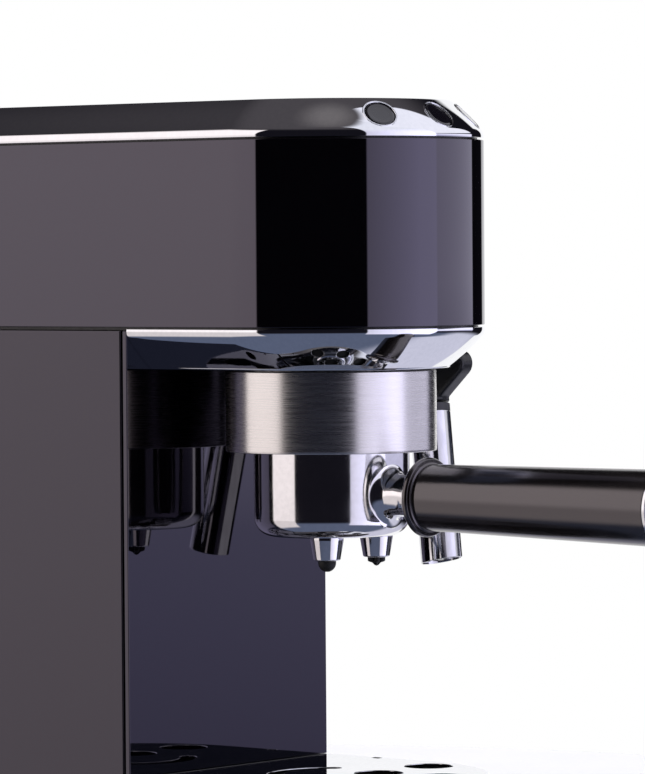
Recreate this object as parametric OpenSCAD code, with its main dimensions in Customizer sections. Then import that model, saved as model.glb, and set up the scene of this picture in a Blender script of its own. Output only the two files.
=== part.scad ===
// Slim pump espresso machine: column, round-fronted head, bayonet filter holder,
// steam wand, drip tray and lift-out water tank.
// Plan positions are measured from the vertical axis of the brewing group:
// X to the user's right, Y towards the back, Z up from the worktop.

/* [Body] */
// Width of head, column and tray
body_w = 126; // [124:1:130]
// Overall height
body_h = 305; // [303:1:310]
// Back of the machine, behind the group axis
body_back = 267; // [262:1:275]
// Front face of the column, behind the group axis
column_front = 55.5; // [54:0.5:58]
// Face between the casing and the water tank
tank_front = 206; // [204:1:208]
// Thickness of the casing walls
wall = 2.5; // [2:0.1:2.6]

/* [Head] */
// Bottom edge of the gloss band around the head
shell_low = 213.8; // [213.5:0.1:214.5]
// Top edge of the gloss band
shell_high = 288.8; // [288:0.1:289.5]
// Shadow gap above and below the gloss band
seam = 1.3; // [1:0.1:1.5]
// How far the top bezel slopes inwards
top_inset = 13; // [12:0.5:13.5]
// How far the lower bezel slopes inwards
low_inset = 14.2; // [13.5:0.1:14.5]
// Height of the head's underside
underside_z = 196.5; // [195.5:0.5:197]

/* [Buttons] */
// Angle between neighbouring buttons, seen from above
button_step = 29.7; // [28:0.1:32]
// Distance of the button centres from the group axis
button_radius = 56.6; // [56.4:0.1:57]
// Radius of a button cap
button_r = 6.2; // [5.8:0.1:6.4]

/* [Group] */
// Outer radius of the brushed collar
collar_r = 43.1; // [42.6:0.1:43.5]
// Bottom edge of the collar
collar_low = 162.7; // [162:0.1:163]
// Radius of the filter holder at its middle
holder_r = 31.8; // [31.4:0.1:32]
// Underside of the filter holder
holder_low = 128; // [127:0.5:129]
// How far the filter holder turns to unlock
unlock_angle = 50; // [48:1:52]

/* [Handle] */
// Height of the handle's axis at the group axis
handle_z = 145.4; // [144:0.1:146]
// Downward tilt of the handle
handle_tilt = 0.67; // [0:0.01:1]
// End of the handle, in front of the group axis
handle_end = 172; // [168:1:176]

/* [Steam wand] */
// Forward lean of the wand
wand_lean = 9.29; // [8:0.01:10]
// Inward lean of the wand
wand_tuck = 4.88; // [4:0.01:6]
// Radius of the frothing sleeve
sleeve_r = 8.75; // [8.5:0.05:9]
// Length of the frothing sleeve
sleeve_h = 63.1; // [62:0.1:64]

/* [Tray] */
// Height of the grille's top face
grille_top = 30.2; // [30:0.1:31]
// Thickness of the grille
grille_t = 1.6; // [1.4:0.1:1.8]
// Middle radius of the grille's curved slot
slot_r = 24.2; // [23:0.1:25]

/* [Hidden] */
$fn = 96;
eps = 0.01;
group_x = -11.5;
group_y = -47.5;
body_r = body_w / 2;
case_back = tank_front - 2;
foot_h = 5;
floor_top = 8;
base_top = 12;
panel_high = shell_low - seam;
bezel_low = shell_high + seam;
bezel_lip = 1.6;
bezel_t = 2.2;
frame_r = body_r - wall - 0.2;
top_r = body_r - top_inset;
low_r = body_r - low_inset;
button_tilt = atan((body_h - bezel_low - bezel_lip) / top_inset);
slope_in = (body_r - button_radius) / top_inset;
button_z = bezel_low + bezel_lip + (body_h - bezel_low - bezel_lip) * slope_in;
ring_r = button_r + 1.1;
ring_proud = 0.9;
ledge_low = 164;
ledge_high = 167.6;
lug_groove_r = 38.4;
ledge_r = 34.2;
cavity_r = 28.6;
rim_z = 178.6;
gasket_low = rim_z + 0.9;
spout_x = 15.9;
spout_y = -10.4;
spout_low = 118.8;
spout_bore = 2.4;
neck_r = 9;
ferrule_z = 46.6;
grip_z = 49;
cap_z = handle_end - 3.6;
wand_foot = [61.33, -8.81, 114];
hub_along = 77.3;
hub_y = 3.67;
hub_x = 67.81;
hub_z = 190;
stub_r = 4;
running = 0.08;
knob_y = 100;
knob_z = 251;
knob_r = 20;
spindle_r = 4;
knob_end = body_r + 23;
tray_back = column_front - 2;
tray_low = base_top + 0.4;
tray_high = grille_top - grille_t - 0.1;
tank_low = 40;
tank_high = 281;
tank_half = 61.5;
tank_wall = 2;
tank_corner = 14;
lid_hinge_y = tank_front + 4;
lid_hinge_z = tank_high + 5;
lid_pin_r = 1.5;
valve_y = 236;
valve_r = 7;
socket_r = 11;
rocker_y = 160;
rocker_z = 36;
hose_z = 21;

// ---- Shared shapes ----

// Places plan positions, which are measured from the group axis
module in_group() translate([group_x, group_y, 0]) children();

// Plan of head and tray: half round in front, straight sides to the back
module plan(r, back) {
    intersection() {
        union() {
            circle(r = r);
            translate([-r, 0]) square([2 * r, max(back, r)]);
        }
        translate([-r, -r]) square([2 * r, r + back]);
    }
}

// Plan of the whole base, with round corners at the back
module base_plan(inset) {
    plan(body_r - inset, 150);
    round_plan([-body_r + inset, 100], [body_r - inset, body_back - inset],
        tank_corner - inset);
}

// Wall that follows the plan and stays open at the back
module plan_wall(r, back, t) {
    difference() {
        plan(r, back);
        plan(r - t, back + 1);
    }
}

// A section in radius and height, carried round the front and along both sides
module skirt(section, back) {
    rotate([0, 0, 180]) rotate_extrude(angle = 180) polygon(section);
    for (side = [0, 1])
        mirror([side, 0, 0]) translate([0, back, 0])
            rotate([90, 0, 0]) linear_extrude(back) polygon(section);
}

// Rectangle with round corners, from its two opposite corners
module round_plan(low, high, r) {
    translate([low[0] + r, low[1]]) square([high[0] - low[0] - 2 * r, high[1] - low[1]]);
    translate([low[0], low[1] + r]) square([high[0] - low[0], high[1] - low[1] - 2 * r]);
    for (x = [low[0] + r, high[0] - r], y = [low[1] + r, high[1] - r])
        translate([x, y]) circle(r = r);
}

// Round rod between two points
module rod(a, b, r) {
    d = b - a;
    turn = [0, acos(d[2] / norm(d)), atan2(d[1], d[0])];
    translate(a) rotate(turn) cylinder(r = r, h = norm(d));
}

// Pipe through a list of points, with a ball at each corner
module pipe(points, r) {
    for (i = [0 : len(points) - 2]) rod(points[i], points[i + 1], r);
    for (i = [1 : len(points) - 2]) translate(points[i]) sphere(r = r + 0.5, $fn = 32);
}

// Points of an arc about a centre
function arc(centre, r, from, to, steps) =
    [for (i = [0 : steps]) let (a = from + (to - from) * i / steps)
        centre + r * [cos(a), sin(a)]];

// Puts a piece on the sloping bezel, with +Z out of the slope
module on_slope(angle)
    rotate([0, 0, angle]) translate([0, -button_radius, button_z])
        rotate([button_tilt, 0, 0]) children();

// Puts a piece on the handle's axis, with +Z towards the user
module on_handle() translate([0, 0, handle_z]) rotate([90 + handle_tilt, 0, 0]) children();

// Puts a piece on the steam wand's axis, with +Z up from the foot of the sleeve
module on_wand() translate(wand_foot) rotate([-wand_lean, wand_tuck, 0]) children();

// Wedge of a circle between two angles
module sector(r, from, to) {
    intersection() {
        circle(r = r);
        polygon([[0, 0], 2 * r * [cos(from), sin(from)],
            2.5 * r * [cos((from + to) / 2), sin((from + to) / 2)],
            2 * r * [cos(to), sin(to)]]);
    }
}

// ---- Base and casing ----

module base_pan() color("#1c1c1f") in_group() difference() {
    union() {
        translate([0, 0, foot_h]) linear_extrude(floor_top - foot_h) base_plan(0);
        translate([0, 0, foot_h]) linear_extrude(base_top - foot_h) difference() {
            base_plan(0);
            base_plan(wall);
        }
        // bulkhead behind the tray
        translate([-body_r, column_front, floor_top - 1])
            cube([body_w, wall, grille_top - floor_top + 1]);
    }
    // pockets for the feet
    for (x = [-46, 46], y = [-22, body_back - 24])
        translate([x, y, foot_h - 1]) cylinder(r = 8.1, h = 2);
    // holes for the case screws
    for (x = [-40, 40], y = [75, 180])
        translate([x, y, foot_h - 1]) cylinder(r = 2, h = 9);
}

module rubber_feet() color("#2b2b2b") in_group()
    for (x = [-46, 46], y = [-22, body_back - 24])
        translate([x, y, 0]) rotate_extrude()
            polygon([[0, 0.6], [5, 0.6], [5.6, 0], [8.2, 0], [9, 0.8], [9, foot_h - 0.1],
                [8, foot_h - 0.1], [8, foot_h + 0.9], [0, foot_h + 0.9]]);

module case_screws() color("#b8b8ba") in_group()
    for (x = [-40, 40], y = [75, 180])
        translate([x, y, 0]) difference() {
            union() {
                translate([0, 0, 2.6]) cylinder(r = 3.6, h = 2.3);
                translate([0, 0, 4]) cylinder(r = 1.9, h = 9.8);
            }
            for (turn = [0, 90]) rotate([0, 0, turn])
                translate([-2.2, -0.4, 2.5]) cube([4.4, 0.8, 1.3]);
        }

module chassis_frame() color("#9c9ea3") in_group() difference() {
    union() {
        // back plate and its side flanges
        translate([-52, 192, floor_top + 0.2]) cube([104, 2, 270]);
        for (x = [-52, 50]) {
            translate([x, 62, floor_top + 0.2]) cube([2, 132, 12]);
            translate([x, 178, floor_top + 0.2]) cube([2, 16, 270]);
            // arms that carry the head
            translate([x, -14, 216]) cube([2, 208, 22]);
            translate([x, 62, floor_top + 0.2]) cube([2, 14, 214]);
        }
        // foot flanges and cross bars
        for (y = [64, 170]) translate([-52, y, floor_top + 0.2]) cube([104, 22, 2]);
        translate([-52, 58.4, 216]) cube([104, 2, 14]);
    }
    // way through for the suction hose
    translate([0, 190, hose_z]) rotate([-90, 0, 0]) cylinder(r = 5, h = 6);
    for (x = [-40, 40], y = [75, 180])
        translate([x, y, floor_top - 1]) cylinder(r = 1.95, h = 5);
}

// Side wall of the column, drawn on the user's right
module side_panel_shape() {
    front = column_front + 3.3;
    difference() {
        translate([body_r - wall, 0, base_top + 0.3]) linear_extrude(panel_high - base_top - 0.3)
            union() {
                translate([0, front + wall]) square([wall, case_back - front - wall]);
                translate([0, front]) square([wall - 1, wall + eps]);
                translate([wall - 1, front + 1]) circle(r = 1);
                translate([wall - 1, front + 1]) square([1, wall]);
            }
        // louvres low at the back
        for (i = [0 : 4])
            translate([body_r - 5, 152 + 8 * i, 58]) cube([10, 3, 22]);
    }
}

module left_side_panel() color("#4c444a") in_group() mirror([1, 0, 0]) side_panel_shape();

module right_side_panel() color("#4c444a") in_group() difference() {
    side_panel_shape();
    translate([body_r - 5, rocker_y - 11, rocker_z - 8]) cube([10, 22, 16]);
}

module front_panel() color("#101014") in_group() difference() {
    translate([0, 0, grille_top + 0.2]) linear_extrude(panel_high - grille_top - 0.4)
        round_plan([-body_r, column_front], [body_r, column_front + 2.2], 1);
    // way through for the pressure line and the group's wiring
    translate([-48, column_front - 1, 200]) cube([96, 5, 9]);
}

module rear_cover() color("#232327") in_group() difference() {
    translate([0, case_back, 0]) rotate([90, 0, 0]) linear_extrude(wall)
        polygon([[-frame_r, base_top + 0.3], [frame_r, base_top + 0.3],
            [frame_r, shell_high], [top_r - 3, body_h - 3], [-top_r + 3, body_h - 3],
            [-frame_r, shell_high]]);
    // cooling slots
    for (i = [-3 : 3])
        translate([12 * i - 3, case_back - 5, 120]) cube([6, 8, 50]);
    // way in for the suction hose
    translate([0, case_back - 5, hose_z]) rotate([-90, 0, 0]) cylinder(r = 5, h = 10);
}

module tank_seat() color("#232327") in_group() difference() {
    union() {
        translate([0, 0, base_top + 0.2]) linear_extrude(tank_low - base_top - 0.8) difference() {
            round_plan([-tank_half, tank_front], [tank_half, body_back], tank_corner);
            round_plan([-tank_half + wall, tank_front + wall],
                [tank_half - wall, body_back - wall], tank_corner - wall);
        }
        translate([0, 0, tank_low - 3.6]) linear_extrude(3)
            round_plan([-tank_half, tank_front], [tank_half, body_back], tank_corner);
    }
    // slot for the outlet socket, open to the front
    translate([-socket_r - 0.3, tank_front - 1, tank_low - 4])
        cube([2 * socket_r + 0.6, valve_y - tank_front + 1, 5]);
    translate([0, valve_y, tank_low - 4]) cylinder(r = socket_r + 0.3, h = 5);
    // notch for the gland's plate, open below
    translate([28, body_back - 5, base_top]) cube([20, 10, 20]);
    // way out for the suction hose
    translate([0, tank_front - 2, hose_z]) rotate([-90, 0, 0]) cylinder(r = 5, h = 8);
}

module cord_gland() color("#202022") in_group() difference() {
    union() {
        translate([38, body_back - 4, 22]) rotate([-90, 0, 0]) cylinder(r = 6, h = 3.9);
        // plate that fills the notch in the seat
        translate([28.1, body_back - wall - 1.1, base_top + 0.4])
            cube([19.8, wall + 0.6, 19.5]);
        translate([26.1, body_back - wall - 1.1, base_top + 0.4]) cube([22.5, 1, 21.5]);
    }
    translate([38, body_back - 10, 22]) rotate([-90, 0, 0]) cylinder(r = 3.6, h = 20);
}

// ---- Head ----

module head_shell() color("#17171b") in_group() difference() {
    translate([0, 0, shell_low]) linear_extrude(shell_high - shell_low)
        plan_wall(body_r, case_back, wall);
    translate([body_r - 6, knob_y, knob_z]) rotate([0, 90, 0])
        cylinder(r = spindle_r + 0.6, h = 10);
}

module head_frame() color("#26262a") in_group() difference() {
    translate([0, 0, panel_high + 0.1]) linear_extrude(bezel_low - panel_high - 0.6)
        plan_wall(frame_r, case_back - wall - 0.2, 2.2);
    translate([body_r - 12, knob_y, knob_z]) rotate([0, 90, 0])
        cylinder(r = spindle_r + 1.4, h = 14);
}

module top_bezel() color("#d6d7da") in_group() difference() {
    skirt([[body_r, bezel_low], [body_r, bezel_low + bezel_lip], [top_r, body_h],
        [top_r - 1.2, body_h], [top_r - 1.2, body_h - 2.6], [body_r - bezel_t - 0.8, bezel_low]],
        case_back);
    for (i = [-1 : 1]) on_slope(i * button_step)
        translate([0, 0, -8]) cylinder(r = ring_r + 0.05, h = 12);
}

module lower_bezel() color("#d6d7da") in_group()
    skirt([[body_r, panel_high], [body_r, panel_high - bezel_lip], [low_r, underside_z + 0.5],
        [low_r, underside_z], [low_r - bezel_t - 0.6, underside_z],
        [body_r - bezel_t - 0.6, panel_high]], column_front - 0.1);

module underside_plate() color("#2c2c30") in_group() difference() {
    translate([0, 0, underside_z]) linear_extrude(2)
        plan(low_r - bezel_t - 0.7, column_front - 0.2);
    translate([0, 0, underside_z - 1]) cylinder(r = 40.2, h = 5);
}

module cup_plate() color("#c4c5c9") in_group() difference() {
    union() {
        translate([0, 0, body_h - 2.4]) linear_extrude(1.6)
            plan(top_r - 1.3, case_back - 0.2);
        // ribs that keep cups off the plate
        for (i = [0 : 11])
            translate([-34, -8 + 17 * i, body_h - 1]) rotate([0, 90, 0])
                cylinder(r = 0.9, h = 68);
    }
    // drain and steam holes between the ribs
    for (i = [0 : 10], x = [-24, 0, 24])
        translate([x, 0.5 + 17 * i, body_h - 5]) cylinder(r = 1.6, h = 6);
}

// Push button with a stem that reaches its switch
module button_shape(angle) on_slope(angle) {
    translate([0, 0, -3.4]) rotate_extrude()
        polygon([[0, 0], [button_r, 0], [button_r, 4.1], [button_r - 0.5, 4.6],
            [button_r - 1.4, 4.75], [0, 4.35]]);
    translate([0, 0, -7]) cylinder(r = 2, h = 4);
    // retaining flange behind the ring
    translate([0, 0, -4.4]) cylinder(r = button_r + 0.5, h = 1.2);
}

module button_one_cup() color("#0e0e11") in_group() button_shape(-button_step);
module button_two_cups() color("#0e0e11") in_group() button_shape(0);
module button_steam() color("#0e0e11") in_group() button_shape(button_step);

module button_rings() color("#cfd0d4") in_group()
    for (i = [-1 : 1]) on_slope(i * button_step) rotate_extrude()
        polygon([[button_r + 0.25, -3], [ring_r, -3], [ring_r, ring_proud - 0.3],
            [ring_r - 0.3, ring_proud], [button_r + 0.45, ring_proud],
            [button_r + 0.25, ring_proud - 0.2]]);

module control_board() color("#1d5a3c") in_group() {
    difference() {
        for (i = [-1 : 1]) on_slope(i * button_step)
            translate([-11, -7, -15]) cube([22, 14, 1.6]);
        translate([0, 0, 200]) cylinder(r = 30, h = 110);
    }
    // flat board that joins the three button boards
    translate([0, 0, 284]) linear_extrude(1.6) difference() {
        plan(47, 40);
        circle(r = 30);
        translate([-30, 0]) square([60, 50]);
    }
    for (i = [-1 : 1]) {
        // switches under the buttons
        on_slope(i * button_step) translate([-3, -3, -13.5]) cube([6, 6, 3.6]);
        // posts between the flat board and the button boards
        rotate([0, 0, i * button_step]) translate([-4, -47, 284]) cube([8, 5, 5]);
    }
}

// ---- Brewing group ----

module group_collar() color("#b9bbbf") in_group() rotate_extrude()
    polygon([[40.6, collar_low + 0.8], [41.6, collar_low], [collar_r - 0.4, collar_low],
        [collar_r, collar_low + 0.4], [collar_r, underside_z - 0.9],
        [collar_r - 0.3, underside_z - 0.6], [40.6, underside_z - 0.6]]);

module group_head() color("#a9abb0") in_group() difference() {
    rotate_extrude() polygon([[ledge_r, ledge_low], [40, ledge_low], [40, underside_z + 2.1],
        [44, underside_z + 2.1], [44, 204], [0, 204], [0, 183.2], [26.6, 183.2],
        [26.6, 187.6], [33.2, 187.6], [33.2, 180.2], [lug_groove_r, 180.2],
        [lug_groove_r, ledge_high], [ledge_r, ledge_high]]);
    // entry slots for the lugs
    for (a = [-unlock_angle, 180 - unlock_angle])
        translate([0, 0, ledge_low - 1]) linear_extrude(ledge_high - ledge_low + 2)
            sector(lug_groove_r, a - 20, a + 20);
    // hole for the shower screw and the water way
    translate([0, 0, 180]) cylinder(r = 2.45, h = 14);
    translate([12, 0, 180]) cylinder(r = 2, h = 30);
}

module group_gasket() color("#33302e") in_group() rotate_extrude()
    polygon([[26.8, gasket_low], [32.4, gasket_low], [33, gasket_low + 0.6], [33, 187.4],
        [26.8, 187.4]]);

module shower_screen() color("#c9cacd") in_group() difference() {
    rotate_extrude() polygon([[0, 180.4], [26.2, 180.4], [26.2, 183.1], [25, 183.1],
        [25, 181.2], [0, 181.2]]);
    for (ring = [1 : 4], i = [0 : 5 * ring - 1])
        rotate([0, 0, 360 * i / (5 * ring)]) translate([5 * ring + 3, 0, 179])
            cylinder(r = 0.8, h = 4);
    translate([0, 0, 179]) cylinder(r = 2.6, h = 4);
}

module shower_screw() color("#b8b8ba") in_group() difference() {
    union() {
        translate([0, 0, 178.2]) cylinder(r = 4.4, h = 2.1);
        translate([0, 0, 180]) cylinder(r = 2.4, h = 13);
    }
    translate([-3, -0.5, 177]) cube([6, 1, 2.2]);
}

// ---- Water and steam works inside the casing ----

module thermoblock() color("#b4b6ba") in_group() {
    difference() {
        union() {
            translate([-36, -34, 204.2]) cube([72, 86, 26]);
            // heater tube cast into the block
            for (x = [-24, 24])
                translate([x, -40, 217]) rotate([-90, 0, 0]) cylinder(r = 4.5, h = 98);
        }
        translate([12, 0, 200]) cylinder(r = 2, h = 12);
    }
    for (x = [-14, 14]) translate([x, 30, 230]) cylinder(r = 5, h = 9);
}

module thermostats() color("#d8d2c4") in_group()
    for (x = [-14, 14]) translate([x, -16, 230.3]) {
        cylinder(r = 8, h = 6);
        translate([-3, -3, 6]) cube([6, 6, 5]);
    }

module pump() color("#5b5f66") in_group() {
    translate([0, 84, 62]) rotate([-90, 0, 0]) {
        cylinder(r = 20, h = 44);
        translate([0, 0, -14]) cylinder(r = 7, h = 16);
        translate([0, 0, 42]) cylinder(r = 9, h = 16);
    }
    translate([-16, 92, 78]) cube([32, 28, 14]);
}

module pump_mounts() color("#2d2d2d") in_group()
    for (y = [90, 116]) difference() {
        translate([-26, y, 10.4]) cube([52, 8, 40]);
        translate([0, y - 1, 62]) rotate([-90, 0, 0]) cylinder(r = 20.1, h = 10);
    }

module flow_meter() color("#e4e4e0") in_group() {
    translate([-24, 156, hose_z - 6]) cylinder(r = 12, h = 14);
    translate([-24, 156, hose_z + 8]) cylinder(r = 4, h = 8);
}

module solenoid_valve() color("#33476b") in_group() {
    translate([-18, 70, 232]) cube([24, 30, 24]);
    translate([-6, 71, 238]) rotate([90, 0, 0]) cylinder(r = 5, h = 15);
}

module suction_hose() color("#d9dcdf") in_group() {
    // socket that receives the tank's outlet
    translate([0, valve_y, 0]) rotate_extrude()
        polygon([[0, tank_low - 14.2], [socket_r - 1, tank_low - 14.2],
            [socket_r - 1, tank_low - 7], [socket_r + 1.5, tank_low - 7],
            [socket_r + 1.5, tank_low - 3.7], [socket_r, tank_low - 3.7],
            [socket_r, tank_low - 1.5], [valve_r + 1.5, tank_low - 1.5],
            [valve_r + 1.5, tank_low - 12], [0, tank_low - 12]]);
    // from the tank to the flow meter
    pipe([[0, valve_y, tank_low - 14.1], [0, valve_y, hose_z], [0, 156, hose_z],
        [-11.9, 156, hose_z]], 3);
    // and on to the pump
    pipe([[-24, 156, hose_z + 16.1], [-24, 156, 62], [0, 156, 62], [0, 142.2, 62]], 3);
}

module pressure_hose() color("#d9dcdf") in_group()
    pipe([[0, 69.8, 62], [0, 64, 62], [34, 64, 62], [34, 64, 244], [34, 86, 244],
        [6.2, 86, 244]], 2.5);

module steam_valve() color("#a48c4e") in_group() {
    translate([36, knob_y, knob_z]) rotate([0, 90, 0]) difference() {
        cylinder(r = 9, h = 14);
        translate([0, 0, 4]) cylinder(r = spindle_r + running, h = 20);
    }
    // from the boiler and on to the wand
    pipe([[37, knob_y, knob_z], [22, knob_y, knob_z], [22, 30, knob_z], [22, 30, 230.4]], 2.5);
    pipe([[44, knob_y, knob_z - 8], [44, knob_y, 206], [44, 24, 206], [52, 24, 206]], 2);
}

module knob_spindle() color("#b8b8ba") in_group()
    translate([40.6, knob_y, knob_z]) rotate([0, 90, 0])
        cylinder(r = spindle_r, h = body_r - 40.6 + 8);

module steam_knob() color("#1b1b1e") in_group()
    translate([body_r + 1.2, knob_y, knob_z]) rotate([0, 90, 0]) difference() {
        rotate_extrude() polygon([[0, 0], [knob_r - 1.5, 0], [knob_r, 1.5],
            [knob_r - 1.2, knob_end - body_r - 4], [knob_r - 4, knob_end - body_r - 1.2],
            [0, knob_end - body_r - 1.2]]);
        translate([0, 0, -1]) cylinder(r = spindle_r, h = 8);
        // grip flutes
        for (i = [0 : 17]) rotate([0, 0, 20 * i + 10])
            translate([knob_r + 1.2, 0, 3]) cylinder(r = 2, h = knob_end);
        // pointer groove
        translate([-knob_r, -0.8, knob_end - body_r - 1.8]) cube([12, 1.6, 3]);
    }

// ---- Filter holder ----

module portafilter_body() color("#c3c5c9") in_group() difference() {
    union() {
        rotate_extrude() polygon(concat([[0, holder_low]],
            arc([holder_r - 7.3, holder_low + 6.5], 6.5, -90, 0, 8),
            [[holder_r, 157], [holder_r + 0.1, 176], [32.6, 176.5], [32.6, rim_z],
            [cavity_r, rim_z], [cavity_r, 173.4], [cavity_r + 1, 172.9],
            [cavity_r + 1, 171.9], [cavity_r, 171.4], [cavity_r, 136], [0, 136]]));
        // bayonet lugs
        for (a = [0, 180]) translate([0, 0, 168]) linear_extrude(4.5) difference() {
            sector(37.8, a - 17, a + 17);
            circle(r = 30.5);
        }
        // arm that carries the handle
        on_handle() {
            translate([0, 0, 29.8]) cylinder(r = neck_r, h = ferrule_z - 29.8);
            translate([0, 0, 29.8]) cylinder(r1 = 11.5, r2 = neck_r, h = 4);
        }
    }
    for (x = [-spout_x, spout_x])
        translate([x, spout_y, holder_low - 1]) cylinder(r = spout_bore, h = 10);
    on_handle() translate([0, 0, 36]) cylinder(r = 3, h = 20);
}

module spouts() color("#d2d3d6") in_group()
    for (x = [-spout_x, spout_x]) translate([x, spout_y, spout_low]) difference() {
        union() {
            cylinder(r1 = 5.45, r2 = 6.9, h = holder_low - spout_low);
            translate([0, 0, -0.1]) cylinder(r = 4.9, h = 0.2);
        }
        translate([0, 0, -1]) cylinder(r = spout_bore, h = 20);
    }

module spout_tips() color("#18181a") in_group() {
    // plain round lip on the left
    translate([-spout_x, spout_y, spout_low - 0.1]) mirror([0, 0, 1]) difference() {
        rotate_extrude() polygon(concat([[0, 0], [3.65, 0]],
            arc([0, 0.8], 3.65, 0, 80, 8), [[0, 4.4]]));
        translate([0, 0, -1]) cylinder(r = 1.4, h = 8);
    }
    // cross-shaped drip former on the right
    translate([spout_x, spout_y, spout_low - 0.1]) mirror([0, 0, 1]) difference() {
        intersection() {
            union() for (turn = [0, 90]) rotate([0, 0, turn + 45])
                translate([-3.65, -1.1, 0]) cube([7.3, 2.2, 4]);
            rotate_extrude() polygon([[0, 0], [3.65, 0], [3.65, 1.6], [1.8, 2.2],
                [0.5, 3.6], [0, 3.6]]);
        }
        translate([0, 0, -1]) cylinder(r = 0.8, h = 8);
    }
}

module filter_basket() color("#c9cacd") in_group() difference() {
    rotate_extrude() polygon([[0, 141], [25, 141], [27, 143], [28.2, 150], [28.2, rim_z],
        [31.6, rim_z], [31.6, rim_z + 0.5], [27.7, rim_z + 0.5], [27.7, 150.1],
        [26.5, 143.3], [24.8, 141.6], [0, 141.6]]);
    for (ring = [1 : 3], i = [0 : 6 * ring - 1])
        rotate([0, 0, 60 * i / ring]) translate([6.5 * ring, 0, 140])
            cylinder(r = 0.5, h = 3);
}

module basket_spring() color("#b0b2b6") in_group() difference() {
    translate([0, 0, 172.4]) rotate_extrude() translate([28.9, 0]) circle(r = 0.6);
    // opening between the two ends of the wire
    translate([-5, 20, 170]) cube([10, 15, 5]);
}

// ---- Handle ----

module handle_ferrule() color("#d6d7da") in_group() on_handle() difference() {
    rotate_extrude() polygon([[0, ferrule_z], [neck_r + 1, ferrule_z], [13.5, ferrule_z + 1],
        [15.2, ferrule_z + 2], [15.2, grip_z - 0.05], [0, grip_z - 0.05]]);
    cylinder(r = 3, h = 60);
}

module handle_grip() color("#201e1f") in_group() on_handle() difference() {
    rotate_extrude() polygon([[0, grip_z], [15.6, grip_z], [16.05, grip_z + 0.5],
        [16.05, grip_z + 1.9], [15.4, grip_z + 2.6], [13.3, grip_z + 3.2], [13.45, grip_z + 8],
        [13.6, 66], [14.25, 110], [14.95, 156], [15.1, cap_z - 1.9], [0, cap_z - 1.9]]);
    translate([0, 0, 40]) cylinder(r = 3, h = 112);
}

module handle_end_ring() color("#d6d7da") in_group() on_handle()
    translate([0, 0, cap_z - 1.85]) cylinder(r = 15.3, h = 1.8);

module handle_end_cap() color("#201e1f") in_group() on_handle() translate([0, 0, cap_z])
    rotate_extrude() polygon([[0, 0], [14.9, 0], [14.4, 1.6], [12.6, 2.8], [8, 3.4], [0, 3.6]]);

module handle_rod() color("#b8b8ba") in_group() on_handle()
    translate([0, 0, 36.2]) cylinder(r = 3, h = 115);

// ---- Steam wand ----

module wand_socket() color("#1b1b1e") in_group() {
    translate([0, 32, 0]) rotate([90, 0, 0]) linear_extrude(17.6)
        polygon([[low_r + 0.9, underside_z + 0.2], [body_r - 0.1, panel_high - 1.7],
            [72, 206], [76.5, 198], [76.5, 184], [73, 180.5], [63, 180.5], [57, 185]]);
    // steam stub that the elbow turns on
    translate([hub_x, 16, hub_z]) rotate([90, 0, 0]) difference() {
        cylinder(r = stub_r, h = 16);
        translate([0, 0, 4]) cylinder(r = 1.5, h = 20);
    }
}

module wand_elbow() color("#232326") in_group() difference() {
    union() {
        on_wand() {
            translate([0, 0, sleeve_h + 3.8]) cylinder(r1 = 8.75, r2 = 8.2, h = 14);
            translate([0, 0, sleeve_h + 17.8]) cylinder(r1 = 8.2, r2 = 5, h = 4);
        }
        translate([hub_x, hub_y + 10, hub_z]) rotate([90, 0, 0]) cylinder(r = 7.6, h = 17);
        // finger tab
        translate([63.6, 0, 0]) rotate([90, 0, 90]) linear_extrude(8) hull() {
            translate([-14.2, 198.6]) circle(r = 4.05, $fn = 32);
            translate([hub_y - 1, hub_z + 2]) circle(r = 6.5, $fn = 32);
            translate([hub_y - 3, hub_z - 4.4]) circle(r = 5, $fn = 32);
        }
    }
    translate([hub_x, 20, hub_z]) rotate([90, 0, 0]) cylinder(r = stub_r + running, h = 21);
    on_wand() translate([0, 0, 60]) cylinder(r = 3.2, h = 9);
    on_wand() translate([0, 0, 60]) cylinder(r = 1.5, h = hub_along - 60);
}

module wand_band() color("#4a494d") in_group() on_wand() translate([0, 0, sleeve_h + 0.1])
    difference() {
        cylinder(r = 8.75, h = 3.4);
        translate([0, 0, -1]) cylinder(r = 3.3, h = 6);
    }

module frother_sleeve() color("#d0d1d4") in_group() on_wand() difference() {
    cylinder(r = sleeve_r, h = sleeve_h);
    translate([0, 0, -1]) cylinder(r = sleeve_r - 1, h = sleeve_h - 2);
    cylinder(r = 3.25, h = sleeve_h + 1);
}

module steam_tube() color("#b8b8ba") in_group() on_wand() difference() {
    rotate_extrude() polygon([[0, 5], [1.6, 5], [4, 8], [4, 14], [3.2, 15.5], [3.2, sleeve_h + 5.7],
        [0, sleeve_h + 5.7]]);
    cylinder(r = 1.2, h = 90);
}

// ---- Drip tray ----

module tray_body() color("#242427") in_group() {
    difference() {
        translate([0, 0, tray_low]) linear_extrude(tray_high - tray_low)
            plan(body_r, tray_back);
        translate([0, 0, tray_low + 2]) linear_extrude(tray_high)
            plan(body_r - 2.2, tray_back - 2.2);
    }
    // two small tabs that locate the grille
    for (x = [-1, 1])
        translate([x * (body_r - 1.9) - 1.1, 25, tray_high - 1]) cube([2.2, 3.4, grille_t + 1.3]);
}

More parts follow.
